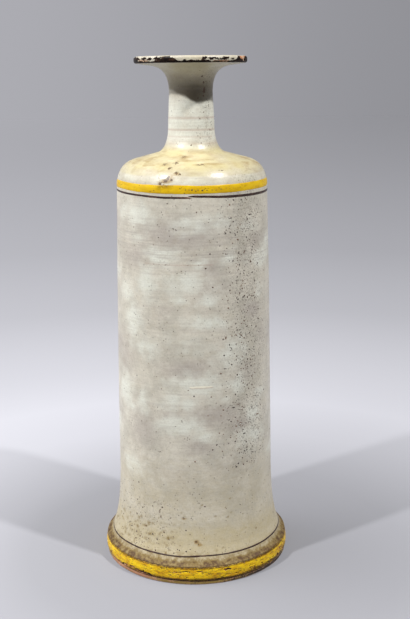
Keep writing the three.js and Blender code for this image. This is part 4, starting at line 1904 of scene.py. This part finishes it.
@dataclass
class FootClay:
    """The bead and ring of bare clay that the bottle stands on, and its recessed floor."""

    sizes: BottleSizes
    hand: Hand
    count: int = 720
    inset: float = 0.35
    eyelet: float = 0.35
    floor_count: int = 288
    wire_centre: Point = (-21.0, 13.0)
    wire_pitch: float = 4.3

    def ring_outline(self) -> tuple[Outline, Outline]:
        """Draws the foot's clay.

        Returns:
            Its outer line, from the seat under the floor to the seam, and its inner one.
        """
        sizes = self.sizes
        edge, r = sizes.rim_face - sizes.standing_inset, sizes.standing_round
        inner_edge = edge - sizes.standing_width
        seat_foot = (sizes.seat - sizes.seat_slope, sizes.recess)
        bottom = Outline(np.array([seat_foot, (inner_edge, 0.0)])).resampled(0.6)
        ring = Outline(np.array([(inner_edge, 0.0), (edge, 0.0)])).resampled(0.7)
        bead = arc((edge, r), r, r, -90.0, 0.0, 6)
        groove = [
            (edge + r, sizes.bead_height - 0.3),
            (edge + r - 0.12, sizes.bead_height),
            (edge + r - sizes.groove_depth, sizes.groove_height),
            (sizes.rim()[0][0] - 0.25, sizes.groove_height + 0.7),
        ]
        corner = Outline(np.concatenate([bead, groove])).resampled(0.3)
        hidden = Outline(sizes.rim()).offset(-1.5).resampled(2.0)
        cove = sizes.body().offset(-self.inset).between(15.0, sizes.foot_seam, 4.0)
        lines = (bottom.points, ring.points[1:], corner.points[1:], hidden.points, cove.points)
        top = sizes.foot_seam + sizes.seam_bevel
        seam = (sizes.wall_radius(top) - sizes.wall, top)
        inner = np.array([(sizes.seat, sizes.floor_top), seam])
        return Outline(np.concatenate(lines)), Outline(inner)

    def build(self, clay: Material) -> None:
        """Makes the foot and the floor.

        Args:
            clay: The finish of both.
        """
        outer, inner = self.ring_outline()
        skin = Skin("foot_clay", outer, inner, self.count)
        places = skin.places()
        height, angles = places[..., 2], angles_of(places)
        shown = smooth(height, 4.6, 3.9)
        rough = self.hand.layered(places * [0.5, 0.5, 1.0], 3.2, 3)
        relief = np.minimum(-0.18 * (0.6 + rough) * shown, 0.0)
        outside = smooth(radii_of(places), 66.0, 71.0)
        bead = smooth(height, 0.3, 0.9) * smooth(height, 3.0, 2.3) * outside
        broad = self.hand.layered(places * [0.25, 0.25, 1.0] + 5.0, 4.0, 3)
        # The groove and the edge that touches the floor are darkened, partly dirt and partly painted
        # shade.
        groove = smooth(height, 2.5, 3.2) * shown * outside
        contact = bell(height, 0.0, 0.5) * outside
        right = smooth(np.abs(turned_by(angles, 48.0)), 36.0, 14.0)
        worn = smooth(np.abs(turned_by(angles, -48.0)), 30.0, 16.0)
        wear = {
            Wear.SOIL: np.maximum(
                0.85 * groove * (1.0 - 0.3 * worn),
                bead * (0.3 + 0.45 * right + 0.4 * broad - 0.25 * worn) + 0.5 * contact,
            ),
            Wear.PAINT: bead * (0.75 - 0.5 * worn + 0.5 * rough),
        }
        finish_piece(skin.build(relief, wear), clay, ["foot_ring"])
        self._build_floor(clay)

    def _build_floor(self, clay: Material) -> None:
        """Makes the floor, with the arcs that the cutting wire left under it.

        Args:
            clay: Its finish.
        """
        sizes = self.sizes
        reach, middle = sizes.seat - sizes.joint, self.eyelet
        under = np.array([(middle, sizes.recess), (reach - sizes.seat_slope, sizes.recess)])
        over = np.array([(middle, sizes.floor_top), (reach, sizes.floor_top)])
        face = Outline(under).resampled(0.75)
        skin = Skin("floor_clay", face, Outline(over).resampled(12.0), self.floor_count)
        places = skin.places()
        x, y = self.wire_centre
        away = np.hypot(places[..., 0] - x, places[..., 1] - y)
        arcs = away * 2.0 * math.pi / self.wire_pitch
        arcs = np.sin(arcs + 1.5 * self.hand.noise(places, 20.0))
        relief = -0.16 * (1.0 + arcs) - 0.12 * (1 + self.hand.layered(places, 5.0, 3))
        wear = {Wear.SOIL: 0.2 + 0.25 * self.hand.layered(places, 16.0, 3)}
        finish_piece(skin.build(relief, wear), clay, ["floor_slab"])


@dataclass
class BrushStroke:
    """One stroke that a brush laid round the turning bottle, over its own start.

    Its path is a row of angles, each with the height and width that the stroke has there.
    """

    node: str
    slot: Slot
    path: tuple[Triple, ...]
    thickness: float = 0.1
    sway: float = 0.1
    ragged: float = 0.1
    taper: float = 5.0
    thinning: Point = (0.0, 0.0)
    fade: float = 14.0
    stained: tuple[Mark, ...] = ()
    step: float = 0.5
    across: int = 9

    def build(self, body: BodyGlaze, hand: Hand, material: Material) -> None:
        """Makes the stroke on the glaze.

        Args:
            body: The glaze that it lies on.
            hand: Moves its edges.
            material: Its finish.
        """
        face = body.face()
        keys = np.array(self.path)
        count = round((keys[-1, 0] - keys[0, 0]) / self.step) + 1
        turned = np.linspace(keys[0, 0], keys[-1, 0], count)
        angles = np.radians(turned)
        height, width = (np.interp(turned, keys[:, 0], keys[:, i]) for i in (1, 2))
        radius = float(np.interp(keys[0, 1], face.points[:, 1], face.points[:, 0]))
        circle = np.stack([np.sin(angles), -np.cos(angles), angles * 0.2], -1) * radius
        drift = self.sway * hand.layered(circle, 30.0, 2)
        edges = [self.ragged * hand.layered(circle + 50.0 * s, 5.0, 3) for s in (1, 2)]
        from_ends = np.minimum(angles - angles[0], angles[-1] - angles) * radius
        blunt = np.sqrt(np.clip(from_ends / self.taper, 0.004, 1.0))
        centre = face.run_at(height) + drift
        low = -(width / 2 + edges[0]) * blunt
        high = (width / 2 + edges[1]) * blunt
        share = np.linspace(-1.0, 1.0, self.across)[:, None]
        run = centre + low + (high - low) * (share + 1.0) / 2.0
        crown = (1.0 - np.abs(share) ** 4) * self.thickness * blunt - 0.02
        outer = self._laid(face, body, run, crown, angles)
        sunk = np.full((3, count), -0.3)
        inner = self._laid(face, body, run[[-1, self.across // 2, 0]], sunk, angles)
        places = np.concatenate([outer, inner])
        rows = len(places)
        sides = ring_faces(rows, count)
        seam = np.arange(len(sides)) % count == count - 1
        faces = [list(f) for f in sides[~seam]]
        faces.append([i * count for i in range(rows)][::-1])
        faces.append([i * count + count - 1 for i in range(rows)])
        piece = new_piece(f"{self.node}_brushed", places, faces)
        first, last = turned[0], turned[-1]
        thin = np.interp(turned, [first, first + self.fade], [self.thinning[0], 0.0])
        thin += np.interp(turned, [last - self.fade, last], [0.0, self.thinning[1]])
        add_wear(piece, {Wear.SOIL: np.maximum(thin, marked(places, self.stained))})
        finish_piece(piece, material, [self.node])

    def _laid(self, face: Outline, body: BodyGlaze, run: Field, lift: Field, angles: Field) -> Field:
        """Lays places on the uneven glaze.

        Args:
            face: The glaze's even line.
            body: Gives its unevenness.
            run: How far along the line each place lies.
            lift: How far above the glaze it lies.
            angles: Its angle round the axis.

        Returns:
            Places in millimetres.
        """
        spot = face.place(run)
        relief = body.relief(swung(spot, angles)) + lift
        return swung(spot + face.normals_at(run) * relief[..., None], angles)


@dataclass
class IronSpots:
    """Small dark spots in the glaze, thickest on the bottle's right side."""

    body: BodyGlaze
    seed: int = 41
    scattered: int = 620
    crowded: int = 900
    sooty_and_shaded: int = 140
    on_neck: int = 36
    sides: int = 8
    band: Point = (301.9, 308.3)
    band_lift: float = 0.24
    large: tuple[Triple, ...] = (
        (29.3, 283.4, 0.6), (31.3, 280.5, 0.6), (32.9, 270.5, 0.55), (30.4, 264.7, 0.5),
        (12.8, 257.8, 0.65), (35.8, 257.4, 0.55), (40.4, 256.5, 0.6), (46.5, 248.4, 0.55),
        (51.5, 233.8, 0.6), (45, 223.3, 0.65), (41.8, 220, 0.5), (49.1, 206.2, 0.65),
        (21.3, 137, 0.65), (16.1, 109.6, 0.65), (13.1, 105.9, 0.65), (0.3, 97, 0.75), (6.9, 60, 0.7),
        (25.5, 128.4, 0.55), (40.2, 122.8, 0.6), (46.6, 134.1, 0.6), (32.9, 126.1, 0.55),
        (-8.6, 51, 0.5),
    )
    on_band: tuple[Triple, ...] = (
        (-4, 305, 0.35), (-1.5, 305, 0.35), (0.6, 305, 0.62), (3.1, 304.2, 0.4), (4.9, 304.9, 0.4),
        (8.1, 304.6, 0.62), (11.3, 304.6, 0.45), (15, 304.6, 0.4), (18, 304.5, 0.38),
        (21.8, 305, 0.42), (25.8, 305.6, 0.3), (31.6, 305.2, 0.28), (37.9, 305.5, 0.28),
    )

    def spots(self) -> Field:
        """Lists the spots.

        Returns:
            Angle in degrees, height and radius in millimetres for each.
        """
        draw = np.random.default_rng(self.seed)
        rows = [np.array(self.large), np.array(self.on_band)]
        groups = (
            (self.scattered, lambda n: draw.uniform(-180, 180, n), (22, 296), -1.4),
            (self.crowded, lambda n: draw.normal(41.0, 11.0, n), (88, 298), -1.05),
            (self.sooty_and_shaded, lambda n: draw.normal(-40.0, 20.0, n), (22, 62), -1.0),
            (self.on_neck, lambda n: draw.uniform(-180, 180, n), (309, 384), -1.4),
        )
        for count, angles, heights, size in groups:
            sizes = np.clip(draw.lognormal(size, 0.4, count), 0.14, 0.68)
            rows.append(np.stack([angles(count), draw.uniform(*heights, count), sizes], -1))
        return np.concatenate(rows)

    def build(self, material: Material) -> None:
        """Makes all spots as one piece of low domes set in the glaze.

        Args:
            material: Their finish.
        """
        face = self.body.face()
        draw = np.random.default_rng(self.seed + 1)
        turns = around(self.sides)
        places, faces = [], []
        for angle, height, size in self.spots():
            phi, run = np.radians(angle), face.run_at(height)
            base, normal = swung(face.place(run), phi), swung(face.normals_at(run), phi)
            side = np.cross((0.0, 0.0, 1.0), normal)
            side /= np.linalg.norm(side)
            up = np.cross(normal, side)
            lift = float(self.body.relief(base[None])[0])
            lift += self.band_lift if self.band[0] < height < self.band[1] else 0.0
            reach = (size * draw.uniform(0.75, 1.2, self.sides))[:, None]
            spokes = np.cos(turns)[:, None] * side + np.sin(turns)[:, None] * up
            rim = base + (lift + 0.015) * normal + reach * spokes
            first = len(places) * (self.sides + 2)
            crown = base + (lift + 0.03 + 0.09 * size) * normal
            root = base + (lift - 0.3) * normal
            places.append(np.concatenate([rim, [crown, root]]))
            for i in range(self.sides):
                a, b = first + i, first + (i + 1) % self.sides
                faces.append([a, b, first + self.sides])
                faces.append([b, a, first + self.sides + 1])
        piece = new_piece("iron_spots", np.concatenate(places), faces)
        finish_piece(piece, material, [])


@dataclass(frozen=True)
class Lamp:
    """A round soft lamp turned to the middle of the bottle.

    It hangs at an angle from the front towards the right, an angle above the level and a
    distance in metres, and it has a diameter and a power in watts.
    """

    name: str
    aside: float
    above: float
    power: float
    away: float = 3.0
    size: float = 0.15
    middle: float = 0.2

    def place(self) -> Matrix:
        """Finds where the lamp hangs and how it is turned.

        Returns:
            Its place in the room.
        """
        turned = Matrix.Rotation(math.radians(self.aside), 4, "Z")
        tipped = Matrix.Rotation(math.radians(90.0 - self.above), 4, "X")
        back = Matrix.Translation((0.0, 0.0, self.away))
        return Matrix.Translation((0.0, 0.0, self.middle)) @ turned @ tipped @ back

    def light_behind(self, distance: float) -> float:
        """Finds how brightly the lamp lights a white floor behind the bottle.

        Args:
            distance: How far behind the axis, in metres.

        Returns:
            The floor's brightness.
        """
        spot = np.array(self.place().translation)
        ray = np.array([0.0, distance, 0.0]) - spot
        length = float(np.linalg.norm(ray))
        aim = np.array([0.0, 0.0, self.middle]) - spot
        leaving = float(aim @ ray) / (self.away * length)
        meeting = -ray[2] / length
        return max(0.0, self.power * leaving * meeting / (math.pi * length) ** 2)

    def hang(self) -> None:
        """Puts the lamp in the scene."""
        data = bpy.data.lights.new(self.name, "AREA")
        data.shape = "DISK"
        data.size = self.size
        data.energy = self.power
        lamp = bpy.data.objects.new(self.name, data)
        lamp.matrix_world = self.place()
        bpy.context.scene.collection.objects.link(lamp)


@dataclass(frozen=True)
class Screen:
    """A large soft screen high at one side of the room.

    It stands at an angle from the front, an angle above the level, and has its brightness
    as light, and as what eyes and glosses see there.
    """

    aside: float
    light: float
    shown: float
    above: float = 38.0
    spread: float = 10.0

    @property
    def on_floor(self) -> float:
        """Share of the screen's brightness that a white floor gets."""
        return 2.0 / (self.spread + 1.0) * math.sin(math.radians(self.above))

    def direction(self) -> Triple:
        """Finds the direction towards the screen.

        Returns:
            A direction of length 1.
        """
        turned, tipped = math.radians(self.aside), math.radians(self.above)
        flat = math.cos(tipped)
        return (flat * math.sin(turned), -flat * math.cos(turned), math.sin(tipped))


@dataclass
class Studio:
    """The floor, the soft lamps, the even room light and the camera."""

    floor_radius: float = 9.0
    floor_sides: int = 96
    lamps: tuple[Lamp, ...] = (Lamp("key_lamp", -53.0, 44.2, 75.0), Lamp("fill_lamp", 54.0, 50.1, 83.0))
    screens: tuple[Screen, ...] = (Screen(-100.0, 5.4, 0.5), Screen(100.0, 1.2, 0.35))
    room: float = 0.07
    floor: StudioFloor = StudioFloor()
    camera_place: Triple = (0.00914, -0.7872, 0.3856)
    camera_pitch: float = 76.902
    camera_roll: float = -0.583
    lens: float = 58.47

    def build(self) -> None:
        """Sets up everything round the bottle."""
        self._lay_floor()
        for lamp in self.lamps:
            lamp.hang()
        self._light_room()
        self._place_camera()
        bpy.context.scene.view_settings.view_transform = "Standard"

    def lit(self, distance: float) -> float:
        """Finds how brightly the lamps and the room light a white floor."""
        screens = sum(screen.light * screen.on_floor for screen in self.screens)
        return self.room + screens + sum(lamp.light_behind(distance) for lamp in self.lamps)

    def _lay_floor(self) -> None:
        """Lays the floor that the bottle stands on."""
        edge = np.array([self.floor_radius / MM, 0.0])
        floor = new_piece("floor", spun(edge, around(self.floor_sides)), [range(self.floor_sides)])
        floor.data.materials.append(self.floor.material(self.lit))

    def _light_room(self) -> None:
        """Makes the room's even light, and the backdrop that eyes and glosses see."""
        world = bpy.data.worlds.new("room")
        bpy.context.scene.world = world
        world.use_nodes = True
        nodes = Nodes(world.node_tree)
        floor = self.floor
        where = nodes.add("TexCoord", {}).outputs["Generated"]
        across = nodes.add("SeparateXYZ", {0: where}).outputs["X"]
        side = nodes.eased(across, -floor.reach, floor.reach)
        left, right = (
            tuple(shade * floor.backdrop * t for t in floor.tint) for shade in floor.shades[-1][1:]
        )
        shown = self._lit_by(nodes, where, nodes.blend(side, left, right), True)
        even = self._lit_by(nodes, where, (self.room,) * 3, False)
        whole = nodes.add("AddShader", {0: shown, 1: even}).outputs[0]
        nodes.add("OutputWorld", {"Surface": whole})

    def _lit_by(self, nodes: Nodes, where: Socket, base: object, shown: bool) -> Socket:
        """Adds the screens' light to the room's.

        Args:
            nodes: The world's nodes.
            where: The direction in the room.
            base: The room's colour.
            shown: True for what eyes and glosses see, False for the light that falls on
                things.

        Returns:
            A shader that is black where the other of the two counts.
        """
        total = 0.0
        for screen in self.screens:
            inputs = {0: where, 1: screen.direction()}
            towards = nodes.add("VectorMath", inputs, operation="DOT_PRODUCT").outputs["Value"]
            spread = nodes.maths("POWER", nodes.maths("MAXIMUM", towards, 0.0), screen.spread)
            level = screen.shown if shown else screen.light
            total = nodes.sum(nodes.product(spread, level), total)
        inputs = {0: 1.0, 6: base, 7: total}
        added = nodes.add("Mix", inputs, data_type="RGBA", blend_type="ADD").outputs[2]
        seen = nodes.seen()
        strength = seen if shown else nodes.maths("SUBTRACT", 1.0, seen)
        return nodes.add("Background", {"Color": added, "Strength": strength}).outputs[0]

    def _place_camera(self) -> None:
        """Places the camera at the photograph's angle."""
        data = bpy.data.cameras.new("camera")
        data.sensor_width = 36.0
        data.lens = self.lens
        camera = bpy.data.objects.new("camera", data)
        pitch = Matrix.Rotation(math.radians(self.camera_pitch), 4, "X")
        roll = Matrix.Rotation(math.radians(self.camera_roll), 4, "Z")
        camera.matrix_world = Matrix.Translation(self.camera_place) @ pitch @ roll
        bpy.context.scene.collection.objects.link(camera)
        bpy.context.scene.camera = camera


@dataclass
class Bottle:
    """All visible pieces of the bottle, in the order that they are made."""

    sizes: BottleSizes = field(default_factory=BottleSizes)
    hand: Hand = field(default_factory=lambda: Hand(7))

    def build(self, nodes: dict[str, Piece]) -> None:
        """Builds and dresses every piece.

        Args:
            nodes: The CAD nodes by name.
        """
        clay = FiredClay().material()
        ClayCore().dress(nodes, clay)
        body = BodyGlaze(self.sizes, TinGlaze(), self.hand)
        body.build()
        LipRim(self.sizes, RimGlaze(), self.hand).build()
        Mouth(self.sizes, self.hand).build(bpy.data.materials["tin_glaze"])
        NeckClay(self.sizes).build(clay)
        FootRim(self.sizes, YellowGlaze(), self.hand).build()
        FootClay(self.sizes, self.hand).build(clay)
        self._paint(body)

    def _paint(self, body: BodyGlaze) -> None:
        """Lays the brushed rings and the iron spots.

        Args:
            body: The glaze that they lie on.
        """
        brown = BrownPaint().material()
        yellow = YellowGlaze(
            name="band_yellow",
            bright=(0.69, 0.45, 0.008),
            deep=(0.58, 0.35, 0.006),
            crazed=False,
        ).material()
        foot_line = BrushStroke(
            "foot_line", Slot.BROWN,
            path=(
                (-4, 21.7, 1.1), (10, 21.6, 1.2), (25, 21.5, 1.3), (45, 21.3, 1.3), (60, 21.4, 1.3),
                (120, 21.1, 1.4), (200, 21.4, 1.3), (295, 20.8, 1.1), (310, 21.3, 1.2),
                (335, 21.2, 1.3), (350, 20.9, 1.3), (357, 21.2, 1.2), (363, 21, 1),
            ),
            ragged=0.16,
        )
        shoulder_line = BrushStroke(
            "shoulder_line", Slot.BROWN,
            path=(
                (-2.6, 300.4, 1.3), (1, 300.2, 1.7), (10, 300, 1.8), (20, 299.5, 2), (30, 299.2, 2.1),
                (60, 299.1, 2.1), (90, 299.4, 2), (180, 299.9, 1.8), (285, 300.6, 1.5),
                (300, 300.3, 1.6), (320, 299.9, 1.6), (340, 299.2, 1.7), (352, 299.3, 1.6),
                (361, 299.1, 1.5),
            ),
            sway=0.06, ragged=0.12, thinning=(0.0, 0.9),
        )
        shoulder_band = BrushStroke(
            "shoulder_band", Slot.YELLOW,
            path=(
                (80, 305.8, 6), (120, 305.4, 6.2), (180, 305.1, 6.2), (240, 305.2, 6.1),
                (295, 305.9, 5.7), (315, 305.3, 5.9), (335, 305.1, 6.3), (350, 305.2, 6.6),
                (365, 304.9, 6.2), (395, 305.1, 6.1), (410, 305.6, 6), (444, 305.8, 6),
            ),
            stained=(
                (-19.5, 308, 4.2, 1.7, 0.75), (-23.5, 306.6, 2, 1.6, 0.6),
                (-15.5, 308.4, 1.8, 1.2, 0.6), (110, 308, 6, 1.6, 0.7),
            ),
            thickness=0.22, sway=0.08, ragged=0.16, across=19,
        )
        foot_line.build(body, self.hand, brown)
        shoulder_line.build(body, self.hand, brown)
        shoulder_band.build(body, self.hand, yellow)
        IronSpots(body).build(IronSpot().material())


def main() -> None:
    """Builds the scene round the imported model."""
    logging.basicConfig(level=logging.INFO, format="%(name)s: %(message)s")
    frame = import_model()
    Studio().build()
    Bottle().build(frame["nodes"])


if __name__ == "__main__":
    main()
